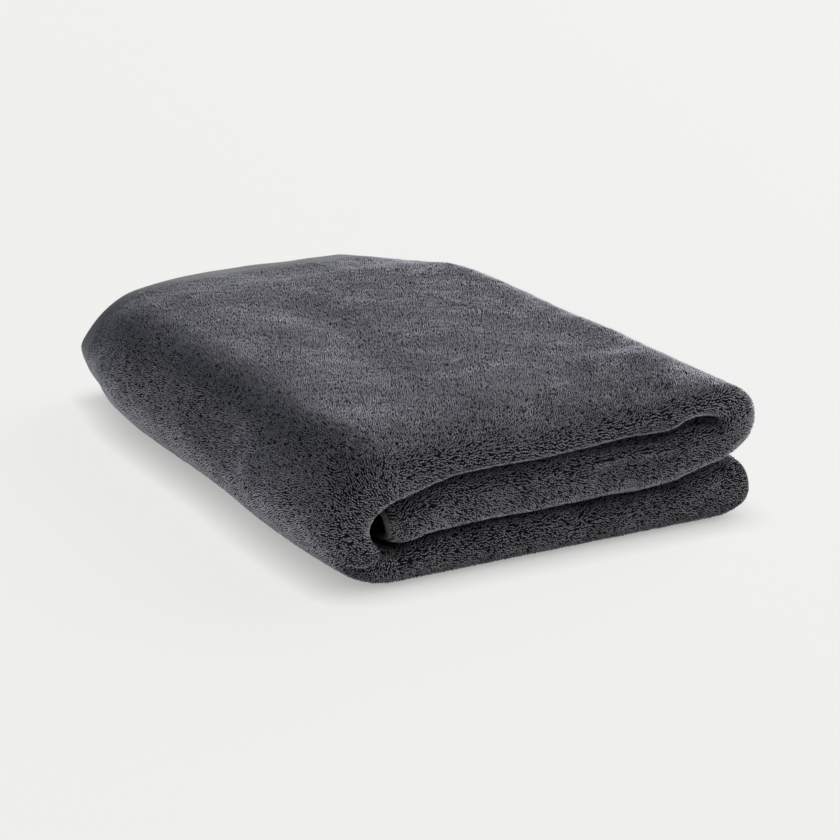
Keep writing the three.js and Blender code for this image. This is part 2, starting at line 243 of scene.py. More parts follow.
def quarter_fold():
    """The whole quarter fold as rows from the first hem to the second. A row has its distance
    from the far end, its depth in the band, the way the cloth runs there, and its place along."""
    def layer(k):
        return (k - 0.5) * LAYER_PITCH

    nose_back = NOSE_BACK
    inner_back = nose_back - INNER_FOLD_SETBACK
    near_nose = nose_back - NEAR_FOLD_REACH
    hem_end = HEM_PROFILE["place"][-1]
    outer = run_through([
        hem_places(0.0),
        stepped(hem_end, near_nose, SHOWN_STEP),
        stepped(near_nose, nose_back, NEAR_FOLD_STEP),
    ])
    back_end = BACK_FOLD_SETBACK + NEAR_FOLD_REACH / 2
    innermost = run_through([
        stepped(nose_back, near_nose, NEAR_FOLD_STEP),
        stepped(near_nose, back_end, HIDDEN_STEP),
        stepped(back_end, BACK_FOLD_SETBACK, NEAR_FOLD_STEP),
    ])
    third = run_through([
        stepped(BACK_FOLD_SETBACK, back_end, NEAR_FOLD_STEP),
        stepped(back_end, inner_back, HIDDEN_STEP),
    ])
    small = {"reach": LAYER_PITCH / 2, "rise": LAYER_PITCH / 2, "steps": SMALL_FOLD_STEPS}
    rows = (
        straight_run(outer, layer(1))
        + half_turn(nose_back, BAND / 2, NOSE_REACH, (BAND - LAYER_PITCH) / 2, 1, 1,
                    NOSE_STEPS, NOSE_SQUARENESS)
        + straight_run(innermost, layer(4))
        + half_turn(BACK_FOLD_SETBACK, 3 * LAYER_PITCH, to_front=-1, turn=-1, **small)
        + straight_run(third, layer(3))
        + half_turn(inner_back, BAND / 2, to_front=1, turn=-1, **small)
    )
    # the last layer takes what is left of the cloth's length
    used = run_length(rows) + math.dist(rows[-1][:2], (inner_back, layer(2)))
    last_end = inner_back - (FLAT_LENGTH - used)
    last = run_through([
        stepped(inner_back, last_end + hem_end, HIDDEN_STEP),
        hem_places(last_end)[::-1],
    ])
    rows = np.array(rows + straight_run(last, layer(2)))
    steps = np.hypot(np.diff(rows[:, 0]), np.diff(rows[:, 1]))
    along = np.concatenate(([0.0], np.cumsum(steps)))
    return rows, along


def band_stations():
    """Places along the band: the two smooth selvages, the straight parts and the turns."""
    ramp_end = SELVAGE_WIDTH + SELVAGE_RAMP
    edge = [0.0, SELVAGE_WIDTH / 2, SELVAGE_WIDTH, SELVAGE_WIDTH + SELVAGE_RAMP / 2, ramp_end, 2 * ramp_end]
    far_edge = [FLAT_WIDTH - place for place in reversed(edge)]
    left_step = (LEFT_END - LEFT_START) / LEFT_TURN_STEPS
    right_step = (RIGHT_END - RIGHT_START) / RIGHT_TURN_STEPS
    return np.array(run_through([
        edge,
        stepped(edge[-1], LEFT_START, SHOWN_STEP),
        stepped(LEFT_START, LEFT_END, left_step),
        stepped(LEFT_END, RIGHT_START, SHOWN_STEP),
        stepped(RIGHT_START, RIGHT_END, right_step),
        stepped(RIGHT_END, far_edge[0], SHOWN_STEP),
        far_edge,
    ]))


def even_stack(across, depth, back):
    """Where a point of the band lies in the even stack. Across is measured along the band from
    its right-hand end at the bottom, depth from its outer face, and back from the far end."""
    top = BAND * BANDS_IN_STACK
    short = read_table(BOTTOM_END_STAGGER, "depth", "short", depth)
    short = short * (1 - smooth_step(0, STAGGER_REACH, across))
    left_angle = (across - LEFT_START) / (LEFT_RADIUS - NEUTRAL_FIBRE)
    left = LEFT_RADIUS - depth
    right_angle = (across - RIGHT_START) / (RIGHT_RADIUS - NEUTRAL_FIBRE)
    right = RIGHT_RADIUS - depth
    from_middle = depth / BAND - 0.5
    inside = smooth_step(MIDDLE_END["inner"] + 0.01, MIDDLE_END["inner"] - 0.01, np.abs(from_middle))
    inside = inside * smooth_step(NOSE_BACK + NOSE_REACH / 2, NOSE_BACK + 1, back)
    further = MIDDLE_END["lean"] * from_middle + MIDDLE_END["out"] - MIDDLE_END["inner_short"] * inside
    further = further * smooth_step(FLAT_WIDTH - STAGGER_REACH, FLAT_WIDTH, across)
    parts = [across <= LEFT_START, across <= LEFT_END, across <= RIGHT_START, across <= RIGHT_END]
    x = np.select(parts, [
        BOTTOM_END - across - short,
        LEFT_CENTRE - left * np.sin(left_angle),
        LEFT_CENTRE + across - LEFT_END,
        RIGHT_CENTRE + right * np.sin(right_angle),
    ], RIGHT_CENTRE - (across - RIGHT_END) - further)
    z = np.select(parts, [
        depth,
        LEFT_RADIUS - left * np.cos(left_angle),
        top - depth,
        top - RIGHT_RADIUS + right * np.cos(right_angle),
    ], BAND + depth)
    return x, z


def thickness_at(across, along, total):
    """The cloth is thin at its woven hems and selvages, and thick where it has pile."""
    from_hem = np.minimum(along, total - along)
    from_selvage = np.minimum(across, FLAT_WIDTH - across)
    pile = smooth_step(HEM_WIDTH, HEM_WIDTH + PILE_RAMP, from_hem) * smooth_step(
        SELVAGE_WIDTH, SELVAGE_WIDTH + SELVAGE_RAMP, from_selvage)
    woven = WOVEN_THICKNESS * read_table(HEM_PROFILE, "place", "share", from_hem)
    woven = woven * (0.5 + 0.5 * smooth_step(0, 2.0, from_selvage))
    return woven + (PILE_THICKNESS - woven) * pile, pile


def crease_lift(x, y, z):
    """The creases between the bands rise toward the right, where soft ends fill the space."""
    level = z / BAND
    fade = LIFT_FADE
    share = fade["share"] + (1 - fade["share"]) * smooth_step(fade["faded"], fade["whole"], y)
    lower = read_table(LOWER_CREASE, "x", "lift", x) * share * soft_hat(level - 1)
    upper = read_table(UPPER_CREASE, "x", "lift", x) * share * soft_hat(level - 2)
    top = np.where(level > BANDS_IN_STACK, 1.0, soft_hat(level - BANDS_IN_STACK))
    return lower + upper + read_table(TOP_FACE, "x", "lift", x) * top


def share_to(distance, side, reach):
    """Distance past a line, as a share of the reach that ends at the side."""
    return np.clip((distance - (side - reach)) / reach, 0.0, PAST_EDGE)


def top_fall(x, y, z):
    """The top is a low cushion that falls at the front, the far end and most at the far corners."""
    front = share_to(-y, HALF_DEPTH, FRONT_FALL["reach"])
    far = share_to(y, HALF_DEPTH, FAR_FALL["reach"])
    left = share_to(-x, HALF_WIDTH, FAR_CORNERS["left_reach"])
    right = share_to(x, HALF_WIDTH, FAR_CORNERS["right_reach"])
    to_right = smooth_step(FRONT_FALL["right_from"], FRONT_FALL["right_to"], x)
    front_drop = FRONT_FALL["drop"] + (FRONT_FALL["drop_at_right"] - FRONT_FALL["drop"]) * to_right
    power = FAR_CORNERS["power"]
    corners = FAR_CORNERS["right"] * right ** power + FAR_CORNERS["left"] * left ** power
    across = np.clip(x / HALF_WIDTH, -1, 1)
    crown = CROWN["height"] * (1 - across ** 2) * smooth_step(CROWN["from"], CROWN["to"], y)
    fall = front_drop * front ** 2 + (FAR_FALL["drop"] + corners) * far ** 2 - crown
    return fall * smooth_step(FALL_FADES_AT, 1, z / (BAND * BANDS_IN_STACK))


def side_draw(x, y, z):
    """The sides draw in toward the front and the far end; the right side follows its table."""
    near = share_to(-y, HALF_DEPTH, LEFT_DRAW["near_reach"])
    far = share_to(y, HALF_DEPTH, LEFT_DRAW["far_reach"])
    left = (
        LEFT_DRAW["near"] * near ** 2
        + LEFT_DRAW["far"] * far ** 2
        - LEFT_SPREAD["out"] * smooth_step(LEFT_SPREAD["from"], LEFT_SPREAD["to"], y)
        - LEFT_FOOT["out"] * (1 - smooth_step(0, LEFT_FOOT["below"], z))
    )
    right = -RIGHT_DRAW["taper"] * (y - RIGHT_DRAW["pivot"]) - RIGHT_DRAW["far"] * far ** 2
    fade = RIGHT_SIDE_FADE
    share = fade["share"] + (1 - fade["share"]) * smooth_step(fade["faded"], fade["whole"], y)
    side = read_table(RIGHT_SIDE, "z", "out", z) * smooth_step(fade["from"], fade["to"], x) * share
    left_share = smooth_step(LEFT_DRAW["fades_at"], -HALF_WIDTH, x)
    return left_share * left + smooth_step(0, HALF_WIDTH, x) * right + side


def cloth_point(across, rows, offset):
    """Points of the settled towel: offset is the distance from the middle of the cloth."""
    back, depth, way_back, way_depth = (rows[None, :, i] for i in range(4))
    far_back = back + offset * way_depth
    far_depth = depth - offset * way_back
    x, z = even_stack(across[:, None] + 0 * far_depth, far_depth, far_back)
    curl = smooth_step(FLAT_WIDTH - END_CURL["reach"], FLAT_WIDTH, across[:, None]) ** 2
    curl = curl * smooth_step(NOSE_BACK - NOSE_REACH, NOSE_BACK + NOSE_REACH / 2, far_back)
    y = HALF_DEPTH - far_back + END_CURL["back"] * curl
    z = z + END_CURL["pinch"] * curl * (1.5 * BAND - z) - LAYER_GAP / 2
    return np.stack([
        x + side_draw(x, y, z),
        y,
        z + crease_lift(x, y, z) - top_fall(x, y, z),
    ], axis=-1)


# soft marks of the settled cloth

# A mark is a line on the cloth as it is seen from one side. Around it the cloth sinks by depth,
# or rises where depth is below zero, over width to each side.
MARKS = (
    {"name": "arc crease over the front of the left turn", "seen": "front", "width": 3.6, "depth": 3.2,
     "line": ((-108, 14), (-105, 12.7), (-100, 12.3), (-96, 13.6), (-92, 16), (-89, 18.7), (-86, 22))},
    {"name": "groove under the top band's lip at the right", "seen": "front", "width": 2.6, "depth": 1.2,
     "line": ((34, 51.6), (50, 52.4), (66, 52.4), (82, 53.6))},
    {"name": "ridge below that groove", "seen": "front", "width": 3.4, "depth": -2.2,
     "line": ((30, 46.6), (46, 47.4), (56, 47.0), (68, 48.6), (80, 49.4))},
    {"name": "hollow under that ridge", "seen": "front", "width": 3.0, "depth": 1.2,
     "line": ((34, 42.4), (52, 43.2), (70, 43.8), (84, 46.0))},
    {"name": "pocket where the lip steps up", "seen": "front", "width": 3.6, "depth": 3.0,
     "line": ((87, 58), (96, 58.5), (105, 57))},
    {"name": "dimple in the left side", "seen": "left", "width": 26.0, "depth": 2.6,
     "line": ((-30, 50), (-52, 44), (-70, 36))},
    {"name": "swelling at the right of the top", "seen": "top", "width": 26.0, "depth": -2.2,
     "line": ((74, -108), (92, -112))},
    {"name": "shallow trough along the top's left part", "seen": "top", "width": 30.0, "depth": 1.2,
     "line": ((-30, 60), (-24, 0), (-36, -60))},
    {"name": "slope at the far left of the top", "seen": "top", "width": 44.0, "depth": 1.6,
     "line": ((-112, 150), (-108, 110), (-104, 60))},
)
SEEN_FROM = {
    "front": {"plane": (0, 2), "toward": (0, -1, 0)},
    "left": {"plane": (1, 2), "toward": (-1, 0, 0)},
    "top": {"plane": (0, 1), "toward": (0, 0, 1)},
}
# beside the first hem the pile lies lower, so that the woven strip shows over it
HEM_VALLEY = {"place": 40.0, "half_width": 26.0, "depth": 1.1}
# slow unevenness of the whole cloth: waves with a length, a height and a fixed start
WAVES = {"count": 30, "longest": 95.0, "shortest": 18.0, "height": 0.26, "roughness": 0.9, "seed": 7}


def distance_to_line(points, line):
    """Distance of flat points from a line through several places."""
    line = np.array(line, float)
    nearest = np.full(points.shape[:-1], np.inf)
    for start, stop in zip(line[:-1], line[1:]):
        way = stop - start
        share = np.clip(((points - start) @ way) / (way @ way), 0, 1)
        nearest = np.minimum(nearest, np.linalg.norm(points - start - share[..., None] * way, axis=-1))
    return nearest


def sink_marks(points, normals):
    """How far each point of the cloth sinks for the listed marks."""
    sink = np.zeros(len(points))
    for mark in MARKS:
        seen = SEEN_FROM[mark["seen"]]
        away = distance_to_line(points[:, seen["plane"]], mark["line"])
        facing = smooth_step(0.05, 0.6, normals @ np.array(seen["toward"], float))
        sink += mark["depth"] * soft_hat(away / mark["width"]) * facing
    return sink


def slow_waves(points):
    """Slow uneven waves through space, so that neighbouring layers move together."""
    chance = np.random.default_rng(WAVES["seed"])
    moved = np.zeros_like(points)
    for _ in range(WAVES["count"]):
        way, push = chance.normal(size=3), chance.normal(size=3)
        length = WAVES["shortest"] * (WAVES["longest"] / WAVES["shortest"]) ** chance.random()
        start = chance.random() * 2 * math.pi
        height = WAVES["height"] * (length / WAVES["longest"]) ** WAVES["roughness"]
        wave = np.sin(points @ way / np.linalg.norm(way) * 2 * math.pi / length + start)
        moved += height * wave[:, None] * push / np.linalg.norm(push)
    return moved


# the sheet's mesh

def sheet_faces(station_count, row_count):
    """Corner numbers of the closed sheet: both faces and the narrow edge all round."""
    def number(face, i, j):
        return face * station_count * row_count + i * row_count + j

    i, j = (grid.ravel() for grid in np.meshgrid(
        np.arange(station_count - 1), np.arange(row_count - 1), indexing="ij"))
    outer = np.stack([number(0, i, j), number(0, i, j + 1), number(0, i + 1, j + 1), number(0, i + 1, j)], 1)
    inner = np.stack([number(1, i, j), number(1, i + 1, j), number(1, i + 1, j + 1), number(1, i, j + 1)], 1)
    j = np.arange(row_count - 1)
    end = station_count - 1
    start_rim = np.stack([
        number(0, 0, j + 1), number(0, 0, j), number(1, 0, j), number(1, 0, j + 1)], 1)
    end_rim = np.stack([
        number(0, end, j), number(0, end, j + 1), number(1, end, j + 1), number(1, end, j)], 1)
    i = np.arange(station_count - 1)
    last = row_count - 1
    first_hem = np.stack([
        number(0, i, 0), number(0, i + 1, 0), number(1, i + 1, 0), number(1, i, 0)], 1)
    last_hem = np.stack([
        number(0, i + 1, last), number(0, i, last), number(1, i, last), number(1, i + 1, last)], 1)
    return np.concatenate([outer, inner, start_rim, end_rim, first_hem, last_hem])


def corner_normals(points, faces):
    """Smooth normals of a mesh of four-sided faces."""
    a, b, c, d = (points[faces[:, k]] for k in range(4))
    across = np.cross(c - a, d - b)
    total = np.zeros_like(points)
    for k in range(4):
        np.add.at(total, faces[:, k], across)
    return total / np.maximum(np.linalg.norm(total, axis=1, keepdims=True), 1e-9)


# openness: rays from the cloth that meet nothing within a reach, straight out and tilted
OPEN_REACH = 30.0
OPEN_TILT = math.radians(52)
OPEN_RAYS = 5
OPEN_START = 0.35


def openness(points, normals, faces):
    """Share of the space over each point that is free, with the floor counted as closed."""
    tree = BVHTree.FromPolygons(points.tolist(), faces.tolist())
    floor = Vector((0, 0, -1))
    open_share = np.zeros(len(points))
    for n, (point, normal) in enumerate(zip(points, normals)):
        out = Vector(normal)
        start = Vector(point) + out * OPEN_START
        side = out.orthogonal().normalized()
        other = out.cross(side)
        ways = [out] + [
            out * math.cos(OPEN_TILT)
            + (side * math.cos(2 * math.pi * k / OPEN_RAYS)
               + other * math.sin(2 * math.pi * k / OPEN_RAYS)) * math.sin(OPEN_TILT)
            for k in range(OPEN_RAYS)
        ]
        free = 0
        for way in ways:
            sinking = way.dot(floor)
            if sinking > 0 and start.z / sinking < OPEN_REACH:
                continue
            if tree.ray_cast(start, way, OPEN_REACH)[0] is None:
                free += 1
        open_share[n] = free / len(ways)
    return open_share


# how far, in rows, the loops go on into a crease, and the share of openness left a row further in
CREASE_ROWS = 3
CREASE_SHARE = 0.7


def reach_into_creases(free, station_count, row_count):
    """Spreads the openness along the cloth, so that loops line the creases a little way in."""
    grid = free.reshape(2, station_count, row_count)
    for _ in range(CREASE_ROWS):
        spread = grid.copy()
        spread[:, :, 1:] = np.maximum(spread[:, :, 1:], CREASE_SHARE * grid[:, :, :-1])
        spread[:, :, :-1] = np.maximum(spread[:, :, :-1], CREASE_SHARE * grid[:, :, 1:])
        grid = spread
    return grid.ravel()


# flat sizes over this are the two faces side by side on the sheet's map, in real proportion
MAP_SPAN = FLAT_LENGTH
MAP_NAME = "cloth_map"
OPEN_ATTRIBUTE = "open"
PILE_ATTRIBUTE = "pile"
HEM_ATTRIBUTE = "hem"
ROOM_ATTRIBUTE = "room"
OUT_ATTRIBUTE = "outward"
NAP_ATTRIBUTE = "nap"


def new_piece(name, mesh):
    piece = bpy.data.objects.new(name, mesh)
    bpy.context.scene.collection.objects.link(piece)
    return piece


def add_values(mesh, name, values):
    attribute = mesh.attributes.new(name, "FLOAT", "POINT")
    attribute.data.foreach_set("value", np.asarray(values, np.float32))


def add_vectors(mesh, name, vectors):
    attribute = mesh.attributes.new(name, "FLOAT_VECTOR", "POINT")
    attribute.data.foreach_set("vector", np.asarray(vectors, np.float32).ravel())


def centring_shift(points):
    """Moves the fold map's box to where the frame has the CAD node's box."""
    low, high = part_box(CLOTH_NODE)
    middle = (points.min(0) + points.max(0)) / 2
    return np.array([
        (low.x + high.x) / 2 / MM - middle[0],
        (low.y + high.y) / 2 / MM - middle[1],
        low.z / MM - points[:, 2].min(),
    ])


def folded_points():
    """Both faces of the cloth in the settled towel, and the numbers its mesh needs."""
    rows, along = quarter_fold()
    across = band_stations()
    thick, pile = thickness_at(across[:, None], along[None, :], along[-1])
    faces = [cloth_point(across, rows, side * thick / 2) for side in (1, -1)]
    points = np.concatenate([face.reshape(-1, 3) for face in faces])
    return points, np.tile(pile.ravel(), 2), across, along


def make_sheet(stand):
    """The folded sheet as one closed mesh. Where it lies open it is thinner by the height that
    the loops stand over it."""
    points, pile, across, along = folded_points()
    faces = sheet_faces(len(across), len(along))
    points = points + centring_shift(points)
    lifted = smooth_step(0, WAVES["longest"] / 4, points[:, 2])
    points = points + lifted[:, None] * slow_waves(points)
    normals = corner_normals(points, faces)
    free = reach_into_creases(openness(points, normals, faces), len(across), len(along))
    room = stand * smooth_step(0.05, 0.45, free) * pile
    beside_hem = HEM_VALLEY["depth"] * soft_hat((along - HEM_VALLEY["place"]) / HEM_VALLEY["half_width"])
    valley = np.tile(beside_hem, 2 * len(across))
    sink = (sink_marks(points, normals) + valley) * np.minimum(1, 2 * free) + room
    points = points - normals * sink[:, None]
    points[:, 2] = np.maximum(points[:, 2], 0)
    ways = np.gradient(points.reshape(2, len(across), len(along), 3), axis=2).reshape(-1, 3)
    mesh = bpy.data.meshes.new(CLOTH_PIECE)
    mesh.from_pydata((points * MM).tolist(), [], faces.tolist())
    mesh.polygons.foreach_set("use_smooth", np.ones(len(faces), bool))
    add_values(mesh, OPEN_ATTRIBUTE, free)
    add_values(mesh, PILE_ATTRIBUTE, pile)
    hem = 1 - smooth_step(HEM_WIDTH, HEM_WIDTH + PILE_RAMP, np.minimum(along, along[-1] - along))
    add_values(mesh, HEM_ATTRIBUTE, np.tile(hem, 2 * len(across)))
    add_values(mesh, ROOM_ATTRIBUTE, room * MM)
    add_vectors(mesh, OUT_ATTRIBUTE, corner_normals(points, faces))
    add_vectors(mesh, NAP_ATTRIBUTE, ways)
    lay_map(mesh, faces, across, along)
    mesh.validate()
    return mesh


def lay_map(mesh, faces, across, along):
    """Writes the sheet's map: the outer face on the left half and the inner face on the right."""
    count = len(across) * len(along)
    u = np.repeat(across, len(along)) / MAP_SPAN
    v = np.tile(along, len(across)) / along[-1]
    places = np.stack([np.concatenate([u, u + 0.5]), np.concatenate([v, v])], 1)
    corners = places[faces]
    rim = (faces < count).any(1) & (faces >= count).any(1)
    corners[rim, :, 0] %= 0.5
    layer = mesh.uv_layers.new(name=MAP_NAME)
    layer.data.foreach_set("uv", corners.astype(np.float32).ravel())


# node trees

class Tree:
    """Short words for building a node tree."""

    def __init__(self, tree):
        self.tree = tree

    def add(self, kind, values=None, **settings):
        node = self.tree.nodes.new(kind)
        for name, value in settings.items():
            setattr(node, name, value)
        for name, value in (values or {}).items():
            self.feed(node.inputs[name], value)
        return node

    def feed(self, socket, value):
        if isinstance(value, bpy.types.NodeSocket):
            self.tree.links.new(value, socket)
        else:
            socket.default_value = value

    def number(self, operation, first, second=0.0, third=0.0, clamp=False):
        node = self.add("ShaderNodeMath", {0: first, 1: second, 2: third}, operation=operation)
        node.use_clamp = clamp
        return node.outputs[0]

    def vector(self, operation, first, second=(0.0, 0.0, 0.0)):
        node = self.add("ShaderNodeVectorMath", {0: first, 1: second}, operation=operation)
        return node.outputs[1] if operation in ("LENGTH", "DOT_PRODUCT") else node.outputs[0]

    def scaled(self, vector, by):
        node = self.add("ShaderNodeVectorMath", {0: vector, "Scale": by}, operation="SCALE")
        return node.outputs[0]

    def xyz(self, x=0.0, y=0.0, z=0.0):
        return self.add("ShaderNodeCombineXYZ", {0: x, 1: y, 2: z}).outputs[0]

    def remap(self, value, start, stop, low=0.0, high=1.0, kind="LINEAR"):
        node = self.add("ShaderNodeMapRange", {"Value": value, 1: start, 2: stop, 3: low, 4: high},
                        interpolation_type=kind)
        return node.outputs[0]

    def noise(self, place, size, detail=2.0, roughness=0.5):
        """Noise whose features are about as large as size, in metres."""
        given = isinstance(size, bpy.types.NodeSocket)
        scale = self.number("DIVIDE", 1.0, size) if given else 1 / size
        node = self.add("ShaderNodeTexNoise", {
            "Vector": place, "Scale": scale, "Detail": detail, "Roughness": roughness})
        return node.outputs["Fac"], node.outputs["Color"]

    def arrange(self):
        """Sets the nodes out in columns, in the order in which they feed each other."""
        column = {}
        for node in self.tree.nodes:
            column[node.name] = 0
        for _ in self.tree.nodes:
            moved = False
            for link in self.tree.links:
                after = column[link.from_node.name] + 1
                if column[link.to_node.name] < after:
                    column[link.to_node.name] = after
                    moved = True
            if not moved:
                break
        filled = {}
        for node in self.tree.nodes:
            place = column[node.name]
            node.location = (NODE_COLUMN * place, -NODE_ROW * filled.get(place, 0))
            filled[place] = filled.get(place, 0) + 1


NODE_COLUMN = 220
NODE_ROW = 200


def add_input(tree, name, kind, default=None, subtype=None):
    socket = tree.interface.new_socket(name, in_out="INPUT", socket_type=kind)
    if subtype:
        socket.subtype = subtype
    if default is not None:
        socket.default_value = default
    return socket


def make_geometry_tree(name, inputs):
    """A Geometry Nodes tree that takes a mesh and the named inputs, and gives a mesh."""
    tree = bpy.data.node_groups.new(name, "GeometryNodeTree")
    add_input(tree, "Geometry", "NodeSocketGeometry")
    for label, kind, default in inputs:
        add_input(tree, label, kind, default)
    tree.interface.new_socket("Geometry", in_out="OUTPUT", socket_type="NodeSocketGeometry")
    return tree


def run_geometry_tree(piece, tree, values):
    """Runs a tree on a piece, and leaves the piece with the plain mesh that it gives."""
    modifier = piece.modifiers.new(tree.name, "NODES")
    modifier.node_group = tree
    for item in tree.interface.items_tree:
        if item.item_type == "SOCKET" and item.in_out == "INPUT" and item.name in values:
            modifier[item.identifier] = values[item.name]
    bpy.context.view_layer.update()
    evaluated = piece.evaluated_get(bpy.context.evaluated_depsgraph_get())
    mesh = bpy.data.meshes.new_from_object(evaluated)
    piece.modifiers.remove(modifier)
    piece.data = mesh
    mesh.name = piece.name
    return piece


FEEL = 0.0005


def sampled_cloth(t, cloth, place):
    """Position, normal, openness, and the two ways of the weave, at a place on the sheet's map."""
    def value(kind, field, at):
        node = t.add("GeometryNodeSampleUVSurface", data_type=kind)
        t.feed(node.inputs["Mesh"], cloth)
        t.feed(node.inputs["Value"], field)
        t.feed(node.inputs["Source UV Map"], cloth_map)
        t.feed(node.inputs["Sample UV"], at)
        return node

    cloth_map = t.add("GeometryNodeInputNamedAttribute", {"Name": MAP_NAME},
                      data_type="FLOAT_VECTOR").outputs[0]
    position = t.add("GeometryNodeInputPosition").outputs[0]
    normal = t.add("GeometryNodeInputNormal").outputs[0]
    free = t.add("GeometryNodeInputNamedAttribute", {"Name": OPEN_ATTRIBUTE}, data_type="FLOAT").outputs[0]
    here = value("FLOAT_VECTOR", position, place)
    ways = []
    for step in ((FEEL, 0.0, 0.0), (0.0, FEEL, 0.0)):
        ahead = value("FLOAT_VECTOR", position, t.vector("ADD", place, step))
        way = t.vector("SUBTRACT", ahead.outputs[0], here.outputs[0])
        ways.append(t.scaled(way, 1 / (FEEL * MAP_SPAN * MM)))
    return {
        "position": here.outputs[0],
        "found": here.outputs["Is Valid"],
        "normal": value("FLOAT_VECTOR", normal, place).outputs[0],
        "open": value("FLOAT", free, place).outputs[0],
        "across": ways[0],
        "along": ways[1],
    }


def kept(t, geometry, fields):
    """Stores fields on points under their names, so that later nodes read them cheaply."""
    for name, (kind, value) in fields.items():
        geometry = t.add("GeometryNodeStoreNamedAttribute", {
            "Geometry": geometry, "Name": name, "Value": value}, data_type=kind, domain="POINT").outputs[0]
    return geometry


def read_back(t, kind, name):
    return t.add("GeometryNodeInputNamedAttribute", {"Name": name}, data_type=kind).outputs[0]


def random_number(t, low, high, seed):
    return t.add("FunctionNodeRandomValue", {2: low, 3: high, "Seed": seed}, data_type="FLOAT").outputs[1]


def random_vector(t, size, seed):
    return t.add("FunctionNodeRandomValue", {
        0: (-size,) * 3, 1: (size,) * 3, "Seed": seed}, data_type="FLOAT_VECTOR").outputs[0]


def yarn_loop(t, length, width, arch):
    """One loop of yarn: a short bent spindle whose two ends go down into the cloth."""
    ball = t.add("GeometryNodeMeshUVSphere", {"Segments": LOOP_SIDES, "Rings": LOOP_RINGS, "Radius": 0.5})
    turned = t.add("GeometryNodeTransform", {
        "Geometry": ball.outputs[0], "Rotation": (math.pi / 2, 0.0, 0.0)})
    position = t.add("GeometryNodeInputPosition").outputs[0]
    along = t.add("ShaderNodeSeparateXYZ", {0: position}).outputs[1]
    bend = t.number("MULTIPLY", t.number("MULTIPLY", along, along), -4.0)
    crest = t.number("ADD", bend, 1.0)
    sized = t.vector("MULTIPLY", position, t.xyz(width, length, width))
    dropped = t.vector("ADD", sized, t.xyz(0.0, 0.0, t.number("MULTIPLY", bend, arch)))
    stored = kept(t, turned.outputs[0], {CREST_ATTRIBUTE: ("FLOAT", crest)})
    return t.add("GeometryNodeSetPosition", {"Geometry": stored, "Position": dropped}).outputs[0]


LOOP_SIDES = 3
LOOP_RINGS = 2
CREST_ATTRIBUTE = "crest"
YARN_ATTRIBUTE = "yarn"
LEAST_OPEN = 0.02
LEAST_CROWD = 0.001
# places tried for each loop that finds room
TRIED_PER_LOOP = 4.0


def finished_tree(t, instances, material):
    """Ends a tree: the instances become one smooth mesh with its material."""
    made = t.add("GeometryNodeRealizeInstances", {"Geometry": instances}).outputs[0]
    made = t.add("GeometryNodeSetShadeSmooth", {"Geometry": made}).outputs[0]
    made = t.add("GeometryNodeSetMaterial", {"Geometry": made, "Material": material}).outputs[0]
    t.add("NodeGroupOutput", {"Geometry": made})
    t.arrange()
    return t.tree


def inside_window(t, start, stop):
    """One where a face's place on the sheet's map lies between two corners of a window."""
    place = t.add("ShaderNodeSeparateXYZ", {0: read_back(t, "FLOAT_VECTOR", MAP_NAME)})
    low, high = t.add("ShaderNodeSeparateXYZ", {0: start}), t.add("ShaderNodeSeparateXYZ", {0: stop})
    inside = 1.0
    for axis in (0, 1):
        above = t.number("GREATER_THAN", place.outputs[axis], low.outputs[axis])
        below = t.number("LESS_THAN", place.outputs[axis], high.outputs[axis])
        inside = t.number("MULTIPLY", t.number("MULTIPLY", inside, above), below)
    return inside


